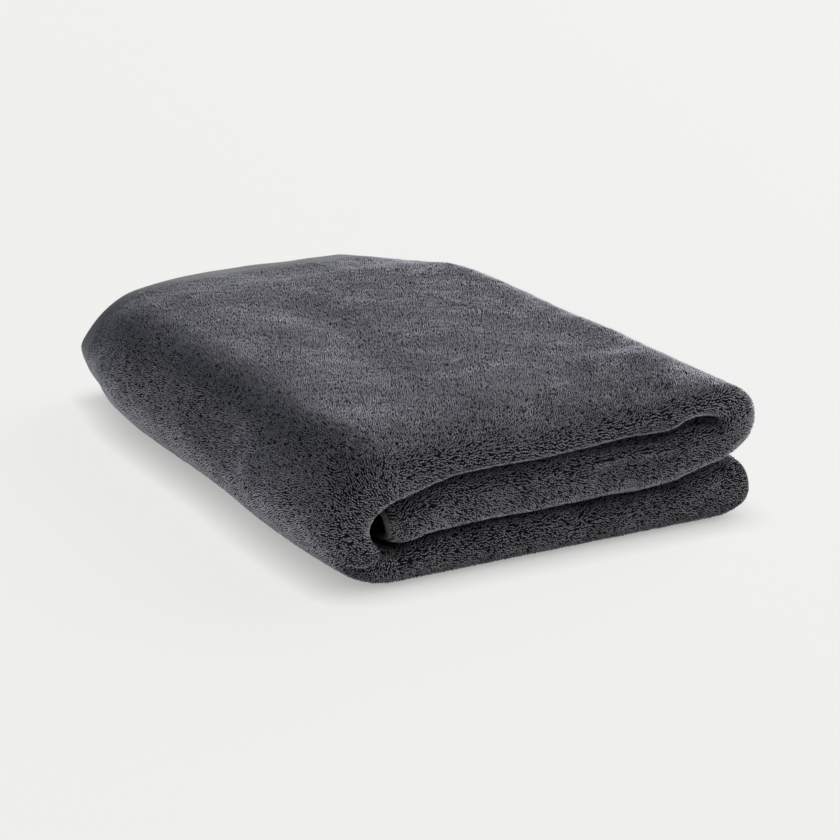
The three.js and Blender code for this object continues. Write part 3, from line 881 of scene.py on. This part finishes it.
def pile_tree():
    """Yarn loops, evenly scattered over the open parts of the sheet in one window of its map."""
    tree = make_geometry_tree("terry_loops", (
        ("Window Start", "NodeSocketVector", (0, 0, 0)),
        ("Window End", "NodeSocketVector", (1, 1, 0)),
        ("Loop Spacing", "NodeSocketFloat", 0.0011),
        ("Yarn Length", "NodeSocketFloat", 0.002),
        ("Yarn Width", "NodeSocketFloat", 0.001),
        ("Arch", "NodeSocketFloat", 0.001),
        ("Lean", "NodeSocketFloat", 0.4),
        ("Swirl Size", "NodeSocketFloat", 0.014),
        ("Turn", "NodeSocketFloat", 0.0),
        ("Swirl Turn", "NodeSocketFloat", 5.0),
        ("Clump Size", "NodeSocketFloat", 0.005),
        ("Clump Height", "NodeSocketFloat", 0.0009),
        ("Missing", "NodeSocketFloat", 0.05),
        ("Seed", "NodeSocketInt", 0),
        ("Material", "NodeSocketMaterial", None),
    ))
    t = Tree(tree)
    given = t.add("NodeGroupInput").outputs
    free = read_back(t, "FLOAT", OPEN_ATTRIBUTE)
    thick = t.remap(read_back(t, "FLOAT", PILE_ATTRIBUTE), 0.1, 0.6)
    crowd = t.number("MULTIPLY", thick, t.remap(free, LEAST_OPEN, 3 * LEAST_OPEN))
    wanted = t.number("MULTIPLY", crowd, inside_window(t, given["Window Start"], given["Window End"]))
    patch = t.number("MULTIPLY", given["Loop Spacing"], given["Loop Spacing"])
    tried = t.number("DIVIDE", TRIED_PER_LOOP, patch)
    window = t.add("GeometryNodeDeleteGeometry", {
        "Geometry": given["Geometry"], "Selection": t.number("LESS_THAN", wanted, LEAST_CROWD)},
        domain="FACE").outputs[0]
    points = t.add("GeometryNodeDistributePointsOnFaces", {
        "Mesh": window, "Distance Min": given["Loop Spacing"], "Density Max": tried,
        "Density Factor": crowd, "Seed": given["Seed"]}, distribute_method="POISSON").outputs["Points"]
    at = t.add("GeometryNodeInputPosition").outputs[0]
    points = kept(t, points, {"at": ("FLOAT_VECTOR", at)})
    at, out = read_back(t, "FLOAT_VECTOR", "at"), read_back(t, "FLOAT_VECTOR", OUT_ATTRIBUTE)

    # here and there loops are missing, and none reach through the floor
    clump, _ = t.noise(at, given["Clump Size"], detail=1.0)
    chance = random_number(t, 0.0, 1.0, t.number("ADD", given["Seed"], 1.0))
    height = t.add("ShaderNodeSeparateXYZ", {0: at}).outputs[2]
    gone = t.number("MAXIMUM", t.number("LESS_THAN", chance, given["Missing"]),
                    t.number("LESS_THAN", height, given["Yarn Width"]))
    points = t.add("GeometryNodeDeleteGeometry", {"Geometry": points, "Selection": gone},
                   domain="POINT").outputs[0]

    # each loop leans and turns with its neighbours, and a little by itself
    _, swirl = t.noise(at, given["Swirl Size"], detail=1.5)
    swirl = t.vector("SUBTRACT", swirl, (0.5, 0.5, 0.5))
    lean = t.vector("ADD", t.scaled(swirl, 1.5), random_vector(t, 0.45, t.number("ADD", given["Seed"], 2.0)))
    up = t.vector("NORMALIZE", t.vector("ADD", out, t.scaled(lean, given["Lean"])))
    turn_noise, _ = t.noise(t.vector("ADD", at, (0.3, 0.1, 0.2)), given["Swirl Size"], detail=1.5)
    turn = t.number("MULTIPLY", t.number("SUBTRACT", turn_noise, 0.5), given["Swirl Turn"])
    turn = t.number("ADD", turn, random_number(t, -0.3, 0.3, t.number("ADD", given["Seed"], 3.0)))
    turn = t.number("ADD", turn, given["Turn"])
    way = t.add("ShaderNodeVectorRotate", {
        "Vector": read_back(t, "FLOAT_VECTOR", NAP_ATTRIBUTE), "Axis": out, "Angle": turn},
        rotation_type="AXIS_ANGLE").outputs[0]
    rotation = t.add("FunctionNodeAxesToRotation", {"Primary Axis": up, "Secondary Axis": way},
                     primary_axis="Z", secondary_axis="Y").outputs[0]
    lift = t.number("MULTIPLY", t.number("SUBTRACT", clump, 0.5), given["Clump Height"])
    high = t.number("ADD", read_back(t, "FLOAT", ROOM_ATTRIBUTE), lift)
    stood = t.vector("ADD", at, t.scaled(out, high))
    points = t.add("GeometryNodeSetPosition", {"Geometry": points, "Position": stood}).outputs[0]
    size = random_number(t, 0.8, 1.2, t.number("ADD", given["Seed"], 4.0))
    size = t.number("MULTIPLY", size, t.remap(free, LEAST_OPEN, 0.5, 0.8, 1.0))
    loop = yarn_loop(t, given["Yarn Length"], given["Yarn Width"], given["Arch"])
    loops = t.add("GeometryNodeInstanceOnPoints", {
        "Points": points, "Instance": loop, "Rotation": rotation,
        "Scale": t.xyz(size, size, size)}).outputs[0]
    loops = t.add("GeometryNodeStoreNamedAttribute", {
        "Geometry": loops, "Name": YARN_ATTRIBUTE,
        "Value": random_number(t, 0.0, 1.0, t.number("ADD", given["Seed"], 5.0))},
        data_type="FLOAT", domain="INSTANCE").outputs[0]
    for name in ("at", PILE_ATTRIBUTE, HEM_ATTRIBUTE, ROOM_ATTRIBUTE, OUT_ATTRIBUTE, NAP_ATTRIBUTE, MAP_NAME):
        loops = t.add("GeometryNodeRemoveAttribute", {"Geometry": loops, "Name": name}).outputs[0]
    return finished_tree(t, loops, given["Material"])


def stitch_tree():
    """A line of stitches along the hem: short threads that lie over the groove."""
    tree = make_geometry_tree("hem_stitches", (
        ("Window Start", "NodeSocketVector", (0, 0, 0)),
        ("Window Size", "NodeSocketVector", (0.5, 0.0, 0)),
        ("Stitches", "NodeSocketInt", 10),
        ("Stitch Length", "NodeSocketFloat", 0.003),
        ("Thread Width", "NodeSocketFloat", 0.0007),
        ("Arch", "NodeSocketFloat", 0.0003),
        ("Material", "NodeSocketMaterial", None),
    ))
    t = Tree(tree)
    given = t.add("NodeGroupInput").outputs
    line = t.add("GeometryNodeMeshLine", {
        "Count": given["Stitches"], "Start Location": (0.0, 0.0, 0.0),
        "Offset": t.scaled(given["Window Size"], t.number("DIVIDE", 1.0, given["Stitches"]))},
        mode="OFFSET").outputs[0]
    points = t.add("GeometryNodeMeshToPoints", {"Mesh": line}).outputs[0]
    place = t.vector("ADD", given["Window Start"], t.add("GeometryNodeInputPosition").outputs[0])
    found = sampled_cloth(t, given["Geometry"], place)
    points = kept(t, points, {
        "at": ("FLOAT_VECTOR", found["position"]),
        "out": ("FLOAT_VECTOR", found["normal"]),
        "weft": ("FLOAT_VECTOR", found["across"]),
        "free": ("FLOAT", t.number("MULTIPLY", found["open"], found["found"])),
    })
    out, weft = read_back(t, "FLOAT_VECTOR", "out"), read_back(t, "FLOAT_VECTOR", "weft")
    points = t.add("GeometryNodeDeleteGeometry", {
        "Geometry": points,
        "Selection": t.number("LESS_THAN", read_back(t, "FLOAT", "free"), LEAST_OPEN)},
        domain="POINT").outputs[0]
    points = t.add("GeometryNodeSetPosition", {
        "Geometry": points, "Position": read_back(t, "FLOAT_VECTOR", "at")}).outputs[0]
    rotation = t.add("FunctionNodeAxesToRotation", {"Primary Axis": out, "Secondary Axis": weft},
                     primary_axis="Z", secondary_axis="Y").outputs[0]
    ball = t.add("GeometryNodeMeshUVSphere", {"Segments": STITCH_SIDES, "Rings": STITCH_RINGS, "Radius": 0.5})
    turned = t.add("GeometryNodeTransform", {
        "Geometry": ball.outputs[0], "Rotation": (math.pi / 2, 0.0, 0.0)})
    position = t.add("GeometryNodeInputPosition").outputs[0]
    along = t.add("ShaderNodeSeparateXYZ", {0: position}).outputs[1]
    bend = t.number("MULTIPLY", t.number("MULTIPLY", along, along), -4.0)
    thread_size = t.xyz(given["Thread Width"], given["Stitch Length"], given["Thread Width"])
    sized = t.vector("MULTIPLY", position, thread_size)
    dropped = t.vector("ADD", sized, t.xyz(0.0, 0.0, t.number("MULTIPLY", bend, given["Arch"])))
    thread = t.add("GeometryNodeSetPosition", {"Geometry": turned.outputs[0], "Position": dropped}).outputs[0]
    made = t.add("GeometryNodeInstanceOnPoints", {
        "Points": points, "Instance": thread, "Rotation": rotation}).outputs[0]
    for name in ("at", "out", "weft", "free"):
        made = t.add("GeometryNodeRemoveAttribute", {"Geometry": made, "Name": name}).outputs[0]
    return finished_tree(t, made, given["Material"])


STITCH_SIDES = 6
STITCH_RINGS = 6


# finishes

def make_material(name):
    material = bpy.data.materials.new(name)
    material.use_nodes = True
    t = Tree(material.node_tree)
    shader = material.node_tree.nodes["Principled BSDF"]
    return material, t, shader


def uneven_tone_group():
    """Slow and fine variation of dyed cotton: a tone around 1, and a fibre height for a bump."""
    tree = bpy.data.node_groups.new("dyed_cotton", "ShaderNodeTree")
    add_input(tree, "Place", "NodeSocketVector")
    add_input(tree, "Slow Variation", "NodeSocketFloat", 0.1)
    add_input(tree, "Fine Variation", "NodeSocketFloat", 0.1)
    for name in ("Tone", "Fibre"):
        tree.interface.new_socket(name, in_out="OUTPUT", socket_type="NodeSocketFloat")
    t = Tree(tree)
    given = t.add("NodeGroupInput").outputs
    slow, _ = t.noise(given["Place"], 0.03, detail=3.0)
    fine, _ = t.noise(given["Place"], 0.0012, detail=2.0)
    fibre, _ = t.noise(given["Place"], 0.0003, detail=3.0)
    slow = t.number("MULTIPLY", t.number("SUBTRACT", slow, 0.5), given["Slow Variation"])
    fine = t.number("MULTIPLY", t.number("SUBTRACT", fine, 0.5), given["Fine Variation"])
    tone = t.number("ADD", 1.0, t.number("MULTIPLY", t.number("ADD", slow, fine), 2.0))
    t.add("NodeGroupOutput", {"Tone": tone, "Fibre": fibre})
    t.arrange()
    return tree


def dyed_cotton(t, place, slow, fine):
    """The group of dyed cotton at a place, with its two variations."""
    cotton = t.add("ShaderNodeGroup")
    cotton.node_tree = bpy.data.node_groups.get("dyed_cotton") or uneven_tone_group()
    t.feed(cotton.inputs["Place"], place)
    cotton.inputs["Slow Variation"].default_value = slow
    cotton.inputs["Fine Variation"].default_value = fine
    return cotton


def toned(t, colour, tone):
    """A colour made lighter or darker by a tone around 1."""
    return t.scaled(colour, tone)


def cotton_sheen(shader, weight):
    shader.inputs["Roughness"].default_value = 0.95
    shader.inputs["Specular IOR Level"].default_value = 0.15
    shader.inputs["Sheen Weight"].default_value = weight
    shader.inputs["Sheen Roughness"].default_value = 0.6
    shader.inputs["Sheen Tint"].default_value = (0.8, 0.86, 1.0, 1.0)


# painted shade: loops close to a crease are darker than those that lie open
CREASE_SHADE = {"open": (0.05, 0.8), "tone": (0.1, 1.0)}


def loop_material(colours):
    """Loose yarn: dark with painted shade at the feet, lighter at the crests, each loop a little different.
    """
    material, t, shader = make_material("terry_loops")
    cotton = dyed_cotton(t, t.add("ShaderNodeTexCoord").outputs["Object"], 0.12, 0.10)
    crest = t.add("ShaderNodeAttribute", attribute_name=CREST_ATTRIBUTE).outputs["Fac"]
    yarn = t.add("ShaderNodeAttribute", attribute_name=YARN_ATTRIBUTE).outputs["Fac"]
    # painted shade: each loop runs from the dark foot colour at its feet to the yarn colour at its crest
    mix = t.add("ShaderNodeMix", data_type="RGBA")
    t.feed(mix.inputs["Factor"], t.remap(crest, 0.2, 0.95, kind="SMOOTHSTEP"))
    mix.inputs["A"].default_value = (*colours.foot_shade, 1.0)
    mix.inputs["B"].default_value = (*colours.yarn, 1.0)
    tone = t.number("MULTIPLY", cotton.outputs["Tone"], t.remap(yarn, 0.0, 1.0, 0.86, 1.14))
    free = t.add("ShaderNodeAttribute", attribute_name=OPEN_ATTRIBUTE).outputs["Fac"]
    # painted shade: the less open the cloth under a loop, the darker the loop
    tone = t.number("MULTIPLY", tone, t.remap(free, *CREASE_SHADE["open"], *CREASE_SHADE["tone"]))
    t.feed(shader.inputs["Base Color"], toned(t, mix.outputs["Result"], tone))
    bump = t.add("ShaderNodeBump", {"Strength": 0.4, "Distance": 0.0002, "Height": cotton.outputs["Fibre"]})
    t.feed(shader.inputs["Normal"], bump.outputs["Normal"])
    cotton_sheen(shader, 0.22)
    t.arrange()
    return material


def ground_material(colours):
    """The woven cloth: dark with painted shade between the loops and in the folds, lighter and finely ribbed
    at hems and selvages.
    """
    material, t, shader = make_material("terry_cloth")
    place = t.add("ShaderNodeTexCoord").outputs["Object"]
    cotton = dyed_cotton(t, place, 0.12, 0.08)
    pile = t.add("ShaderNodeAttribute", attribute_name=PILE_ATTRIBUTE).outputs["Fac"]
    free = t.add("ShaderNodeAttribute", attribute_name=OPEN_ATTRIBUTE).outputs["Fac"]
    # painted shade: cloth that lies in a crease or fold takes the darker fold colour, open cloth takes the
    # foot colour
    between = t.remap(free, 0.02, 0.2)
    under = t.add("ShaderNodeMix", data_type="RGBA")
    t.feed(under.inputs["Factor"], between)
    under.inputs["A"].default_value = (*colours.fold_shade, 1.0)
    under.inputs["B"].default_value = (*colours.foot_shade, 1.0)
    mix = t.add("ShaderNodeMix", data_type="RGBA")
    t.feed(mix.inputs["Factor"], t.remap(pile, 0.15, 0.6))
    hem = t.add("ShaderNodeAttribute", attribute_name=HEM_ATTRIBUTE).outputs["Fac"]
    edge = t.add("ShaderNodeMix", data_type="RGBA")
    t.feed(edge.inputs["Factor"], hem)
    worn, _ = t.noise(place, SELVAGE_PATCH, detail=2.0)
    t.feed(edge.inputs["A"], toned(t, t.xyz(*colours.selvage), t.remap(worn, 0.35, 0.65, 0.6, 1.25)))
    edge.inputs["B"].default_value = (*colours.woven, 1.0)
    t.feed(mix.inputs["A"], edge.outputs["Result"])
    t.feed(mix.inputs["B"], under.outputs["Result"])
    t.feed(shader.inputs["Base Color"], toned(t, mix.outputs["Result"], cotton.outputs["Tone"]))
    on_map = t.add("ShaderNodeUVMap", uv_map=MAP_NAME).outputs[0]
    ribs = t.add("ShaderNodeTexWave", {
        "Vector": on_map, "Scale": MAP_SPAN / WEAVE_RIB / 20, "Distortion": 1.0, "Detail": 1.0,
        "Detail Scale": 4.0}, bands_direction="X").outputs["Fac"]
    picks = t.add("ShaderNodeTexWave", {
        "Vector": on_map, "Scale": MAP_SPAN / WEAVE_PICK / 20, "Distortion": 1.0, "Detail": 1.0,
        "Detail Scale": 4.0}, bands_direction="Y").outputs["Fac"]
    fibre = t.number("MULTIPLY", cotton.outputs["Fibre"], 0.5)
    weave = t.number("ADD", t.number("MULTIPLY", ribs, picks), fibre)
    bump = t.add("ShaderNodeBump", {"Strength": 0.5, "Distance": 0.0003, "Height": weave})
    t.feed(shader.inputs["Normal"], bump.outputs["Normal"])
    cotton_sheen(shader, 0.04)
    t.arrange()
    return material


# size of the darker patches along a selvage, in metres
SELVAGE_PATCH = 0.0018
# spacing of the fine ribs of the woven strip, across and along
WEAVE_RIB = 1.1
WEAVE_PICK = 0.8


def thread_material(colours):
    """Sewing thread of the hem: tight, and a little shinier than the cloth."""
    material, t, shader = make_material("hem_thread")
    place = t.add("ShaderNodeTexCoord").outputs["Object"]
    twist = t.add("ShaderNodeTexWave", {"Vector": place, "Scale": 900.0, "Distortion": 2.0},
                  bands_direction="DIAGONAL").outputs["Fac"]
    tone = t.remap(twist, 0.0, 1.0, 0.85, 1.1)
    t.feed(shader.inputs["Base Color"], toned(t, t.xyz(*colours.thread), tone))
    shader.inputs["Roughness"].default_value = 0.7
    bump = t.add("ShaderNodeBump", {"Strength": 0.3, "Distance": 0.0001, "Height": twist})
    t.feed(shader.inputs["Normal"], bump.outputs["Normal"])
    t.arrange()
    return material


# painted contact shadow: the floor's glow is dimmed close to what rests on it
FLOOR_CONTACT_SHADOW = {"reach": 0.022, "least": 0.45}


def floor_material(colour, glow):
    """Smooth matt sheet of a light table, with a hardly visible mottle and a painted contact shadow in its
    glow.
    """
    material, t, shader = make_material("pale_floor")
    place = t.add("ShaderNodeTexCoord").outputs["Object"]
    mottle, _ = t.noise(place, 0.25, detail=2.0)
    tone = t.remap(mottle, 0.0, 1.0, 0.995, 1.005)
    t.feed(shader.inputs["Base Color"], toned(t, t.xyz(*colour), tone))
    shader.inputs["Roughness"].default_value = 0.9
    shader.inputs["Specular IOR Level"].default_value = 0.1
    # painted contact shadow: ambient occlusion dims the glow where the towel is close
    near = t.add("ShaderNodeAmbientOcclusion", {"Distance": FLOOR_CONTACT_SHADOW["reach"]}, samples=8)
    share = t.remap(near.outputs["AO"], 0.0, 1.0, FLOOR_CONTACT_SHADOW["least"], 1.0)
    t.feed(shader.inputs["Emission Color"], toned(t, t.xyz(1.0, 1.0, 0.985), share))
    shader.inputs["Emission Strength"].default_value = glow
    t.arrange()
    return material


# settings of the add-on

CLOTH_PIECE = "folded_sheet"
STITCH_PIECE = "hem_stitches"
# the pieces of the pile, each on one window of the sheet's outer face. Loops lie at a turn from
# the length of the cloth, in degrees, and swirl is how far that turn changes from place to place.
# Places on the inner face are counted from the sheet's width.
TOP, FRONT = (LEFT_END, RIGHT_START), (346, 412)
PILE_COLUMNS = ("name", "across", "along", "turn", "swirl")
PILE_ROWS = (
    ("pile_on_far_top", TOP, (0, 183), 100, 110),
    ("pile_on_near_top", TOP, (183, 346), 100, 110),
    ("pile_on_left_turn", (0, LEFT_END), (0, 346), 60, 300),
    ("pile_on_right_turn", (RIGHT_START, FLAT_WIDTH), (0, 346), 90, 300),
    ("pile_on_bottom_front", (0, LEFT_START), FRONT, 90, 200),
    ("pile_on_left_front", (LEFT_START, LEFT_END), FRONT, 0, 120),
    ("pile_on_upper_front", (LEFT_END, FLAT_WIDTH), FRONT, 90, 200),
    ("pile_in_middle_end", (2 * FLAT_WIDTH - 40, 2 * FLAT_WIDTH), (300, 420), 90, 200),
    ("pile_on_back_folds", (0, FLAT_WIDTH), (412, 900), 90, 200),
)
PILE_PIECES = tuple(dict(zip(PILE_COLUMNS, row)) for row in PILE_ROWS)


class TowelPileSettings(bpy.types.PropertyGroup):
    """Sizes of the terry loops."""

    spacing: bpy.props.FloatProperty(
        name="Loop spacing", description="Least distance between the middles of two loops",
        default=0.0009, min=0.0006, max=0.004, unit="LENGTH")
    stand: bpy.props.FloatProperty(
        name="Pile height", description="Height of the loops over the woven ground", default=0.0019,
        min=0.0003, max=0.004, unit="LENGTH")
    length: bpy.props.FloatProperty(
        name="Loop length", description="Length of one loop as it is seen from above", default=0.0026,
        min=0.0005, max=0.006, unit="LENGTH")
    width: bpy.props.FloatProperty(
        name="Yarn width", description="Thickness of the yarn in a loop", default=0.0008,
        min=0.0002, max=0.003, unit="LENGTH")
    arch: bpy.props.FloatProperty(
        name="Loop arch", description="How far a loop's ends go down", default=0.0016,
        min=0.0, max=0.004, unit="LENGTH")
    lean: bpy.props.FloatProperty(
        name="Lean", description="How far loops lean with the nap", default=0.32, min=0.0, max=1.5)
    seed: bpy.props.IntProperty(name="Seed", description="Fixed seed of the loops' places", default=11, min=0)


def colour_setting(name, description, colour):
    return bpy.props.FloatVectorProperty(
        name=name, description=description, default=colour, size=3, min=0.0, max=1.0, subtype="COLOR")


class TowelColourSettings(bpy.types.PropertyGroup):
    """Colours of the cloth."""

    yarn: colour_setting("Loops", "Colour of the loops' crests", (0.53, 0.521, 0.562))
    # painted shade: the dark colour at the loops' feet and on the ground between them
    foot_shade: colour_setting("Between the loops", "Colour deep between the loops", (0.02, 0.02, 0.022))
    # painted shade: the darker colour of the cloth inside the folds
    fold_shade: colour_setting("Inside the folds", "Colour of the cloth in the folds", (0.012, 0.012, 0.013))
    woven: colour_setting("Hems", "Colour of the smooth woven hems", (0.31, 0.315, 0.32))
    selvage: colour_setting("Selvages", "Colour of the long edges", (0.12, 0.118, 0.122))
    thread: colour_setting("Hem thread", "Colour of the sewing thread", (0.16, 0.165, 0.18))


class TowelStageSettings(bpy.types.PropertyGroup):
    """The plain floor and the soft lights."""

    floor: colour_setting("Floor", "Colour of the floor", (0.07, 0.07, 0.069))
    glow: bpy.props.FloatProperty(
        name="Floor glow", description="Light that the floor gives, like a light table",
        default=0.815, min=0.0)
    key: bpy.props.FloatProperty(
        name="Key light", description="Strength of the wide light low behind at the right",
        default=4.7, min=0.0)
    left: bpy.props.FloatProperty(
        name="Left light", description="Strength of the cool light low at the left", default=0.13, min=0.0)
    fill: bpy.props.FloatProperty(
        name="Room light", description="Strength of the even light from all sides", default=0.02, min=0.0)


# operators

class TOWEL_OT_cloth(bpy.types.Operator):
    """Make the folded sheet of terry cloth"""

    bl_idname = "towel.cloth"
    bl_label = "Folded sheet"

    def execute(self, context):
        pile = context.scene.towel_pile
        piece = new_piece(CLOTH_PIECE, make_sheet(pile.stand / MM))
        piece.data.materials.append(ground_material(context.scene.towel_colours))
        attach(piece, "root")
        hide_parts(CLOTH_NODE)
        return {"FINISHED"}


class TOWEL_OT_pile(bpy.types.Operator):
    """Stand the terry loops on the open parts of the sheet"""

    bl_idname = "towel.pile"
    bl_label = "Terry loops"

    def execute(self, context):
        sheet = bpy.data.objects[CLOTH_PIECE]
        pile = context.scene.towel_pile
        material = loop_material(context.scene.towel_colours)
        tree = pile_tree()
        for number, part in enumerate(PILE_PIECES):
            piece = new_piece(part["name"], sheet.data.copy())
            piece.data.materials.clear()
            corners = [
                (part["across"][end] / MAP_SPAN, part["along"][end] / MAP_SPAN, 0.0) for end in (0, 1)
            ]
            run_geometry_tree(piece, tree, {
                "Window Start": corners[0],
                "Window End": corners[1],
                "Loop Spacing": pile.spacing,
                "Yarn Length": pile.length,
                "Yarn Width": pile.width,
                "Arch": pile.arch,
                "Lean": pile.lean,
                "Turn": math.radians(part["turn"]),
                "Swirl Turn": math.radians(part["swirl"]),
                "Seed": pile.seed + number,
                "Material": material,
            })
            if not piece.data.polygons:
                raise RuntimeError(f"no loops were made for {piece.name}")
            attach(piece, "root")
        return {"FINISHED"}


STITCH_LINE = 13.0
STITCH_PITCH = 3.6


class TOWEL_OT_hem(bpy.types.Operator):
    """Sew the stitches of the hem"""

    bl_idname = "towel.hem"
    bl_label = "Hem stitches"

    def execute(self, context):
        sheet = bpy.data.objects[CLOTH_PIECE]
        piece = new_piece(STITCH_PIECE, sheet.data.copy())
        piece.data.materials.clear()
        run_geometry_tree(piece, stitch_tree(), {
            "Window Start": (1 / MAP_SPAN, STITCH_LINE / MAP_SPAN, 0.0),
            "Window Size": ((FLAT_WIDTH - 2) / MAP_SPAN, 0.0, 0.0),
            "Stitches": round(FLAT_WIDTH / STITCH_PITCH),
            "Material": thread_material(context.scene.towel_colours),
        })
        if not piece.data.polygons:
            raise RuntimeError("no stitches were made")
        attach(piece, "root")
        return {"FINISHED"}


# the camera, as fitted to the towel's outline in the photograph, in the frame of the even stack
CAMERA = {"place": (-549.03, -1105.11, 448.07), "azimuth": -27.283, "elevation": 19.147, "lens": 97.16}
SENSOR = 36.0
FLOOR_SIZE = 12.0


# wide lights: their azimuth is counted from the camera's, to the right
LIGHTS = (
    {"name": "key_light", "setting": "key", "azimuth": 132, "elevation": 23, "wide": 60,
     "colour": (1.0, 1.0, 1.0)},
    {"name": "left_light", "setting": "left", "azimuth": -80, "elevation": 25, "wide": 60,
     "colour": (0.35, 0.6, 1.0)},
)
LIGHT_DISTANCE = 2.0


def seen_from(azimuth, elevation):
    """The way from the object toward an azimuth and an elevation, in degrees."""
    azimuth, elevation = math.radians(azimuth), math.radians(elevation)
    return Vector((
        math.sin(azimuth) * math.cos(elevation),
        -math.cos(azimuth) * math.cos(elevation),
        math.sin(elevation),
    ))


def fold_map_shift():
    points, _, _, _ = folded_points()
    return centring_shift(points)


class TOWEL_OT_stage(bpy.types.Operator):
    """Set the floor, the soft lights and the camera"""

    bl_idname = "towel.stage"
    bl_label = "Floor, lights and camera"

    def execute(self, context):
        stage = context.scene.towel_stage
        self.lay_floor(context, stage)
        self.hang_lights(context, stage)
        self.set_camera(context)
        context.scene.view_settings.view_transform = "Standard"
        return {"FINISHED"}

    def lay_floor(self, context, stage):
        half = FLOOR_SIZE / 2
        mesh = bpy.data.meshes.new("floor")
        corners = [(-half, -half, 0), (half, -half, 0), (half, half, 0), (-half, half, 0)]
        mesh.from_pydata(corners, [], [(0, 1, 2, 3)])
        floor = new_piece("floor", mesh)
        mesh.materials.append(floor_material(stage.floor, stage.glow))

    def hang_lights(self, context, stage):
        for row in LIGHTS:
            data = bpy.data.lights.new(row["name"], "SUN")
            data.energy = getattr(stage, row["setting"])
            data.angle = math.radians(row["wide"])
            data.color = row["colour"]
            lamp = new_piece(row["name"], data)
            toward = seen_from(CAMERA["azimuth"] + row["azimuth"], row["elevation"])
            lamp.location = toward * LIGHT_DISTANCE
            lamp.rotation_mode = "QUATERNION"
            lamp.rotation_quaternion = toward.to_track_quat("Z", "Y")
        world = bpy.data.worlds.new("room_light")
        world.use_nodes = True
        background = world.node_tree.nodes["Background"]
        background.inputs["Color"].default_value = (1.0, 0.99, 0.975, 1.0)
        background.inputs["Strength"].default_value = stage.fill
        context.scene.world = world

    def set_camera(self, context):
        back = seen_from(CAMERA["azimuth"], CAMERA["elevation"])
        data = bpy.data.cameras.new("camera")
        data.sensor_width = SENSOR
        data.lens = CAMERA["lens"]
        data.clip_end = 2 * FLOOR_SIZE
        camera = new_piece("camera", data)
        camera.location = [place * MM for place in np.array(CAMERA["place"]) + fold_map_shift()]
        camera.rotation_mode = "QUATERNION"
        camera.rotation_quaternion = back.to_track_quat("Z", "Y")
        context.scene.camera = camera


class TOWEL_PT_panel(bpy.types.Panel):
    """The towel's pieces, sizes and colours"""

    bl_label = "Folded bath towel"
    bl_idname = "TOWEL_PT_panel"
    bl_space_type = "VIEW_3D"
    bl_region_type = "UI"
    bl_category = "Towel"

    def draw(self, context):
        layout = self.layout
        for operator in OPERATORS:
            layout.operator(operator.bl_idname)
        for name in SETTINGS:
            group = getattr(context.scene, name)
            box = layout.box()
            for key in group.__annotations__:
                box.prop(group, key)


OPERATORS = (TOWEL_OT_cloth, TOWEL_OT_pile, TOWEL_OT_hem, TOWEL_OT_stage)
SETTINGS = {
    "towel_pile": TowelPileSettings,
    "towel_colours": TowelColourSettings,
    "towel_stage": TowelStageSettings,
}


def register():
    for kind in (*SETTINGS.values(), *OPERATORS, TOWEL_PT_panel):
        bpy.utils.register_class(kind)
    for name, kind in SETTINGS.items():
        setattr(bpy.types.Scene, name, bpy.props.PointerProperty(type=kind))


def unregister():
    for name in SETTINGS:
        delattr(bpy.types.Scene, name)
    for kind in reversed((*SETTINGS.values(), *OPERATORS, TOWEL_PT_panel)):
        bpy.utils.unregister_class(kind)


def main():
    register()
    bpy.ops.towel.cloth()
    bpy.ops.towel.pile()
    bpy.ops.towel.hem()
    bpy.ops.towel.stage()


if __name__ == "__main__":
    main()
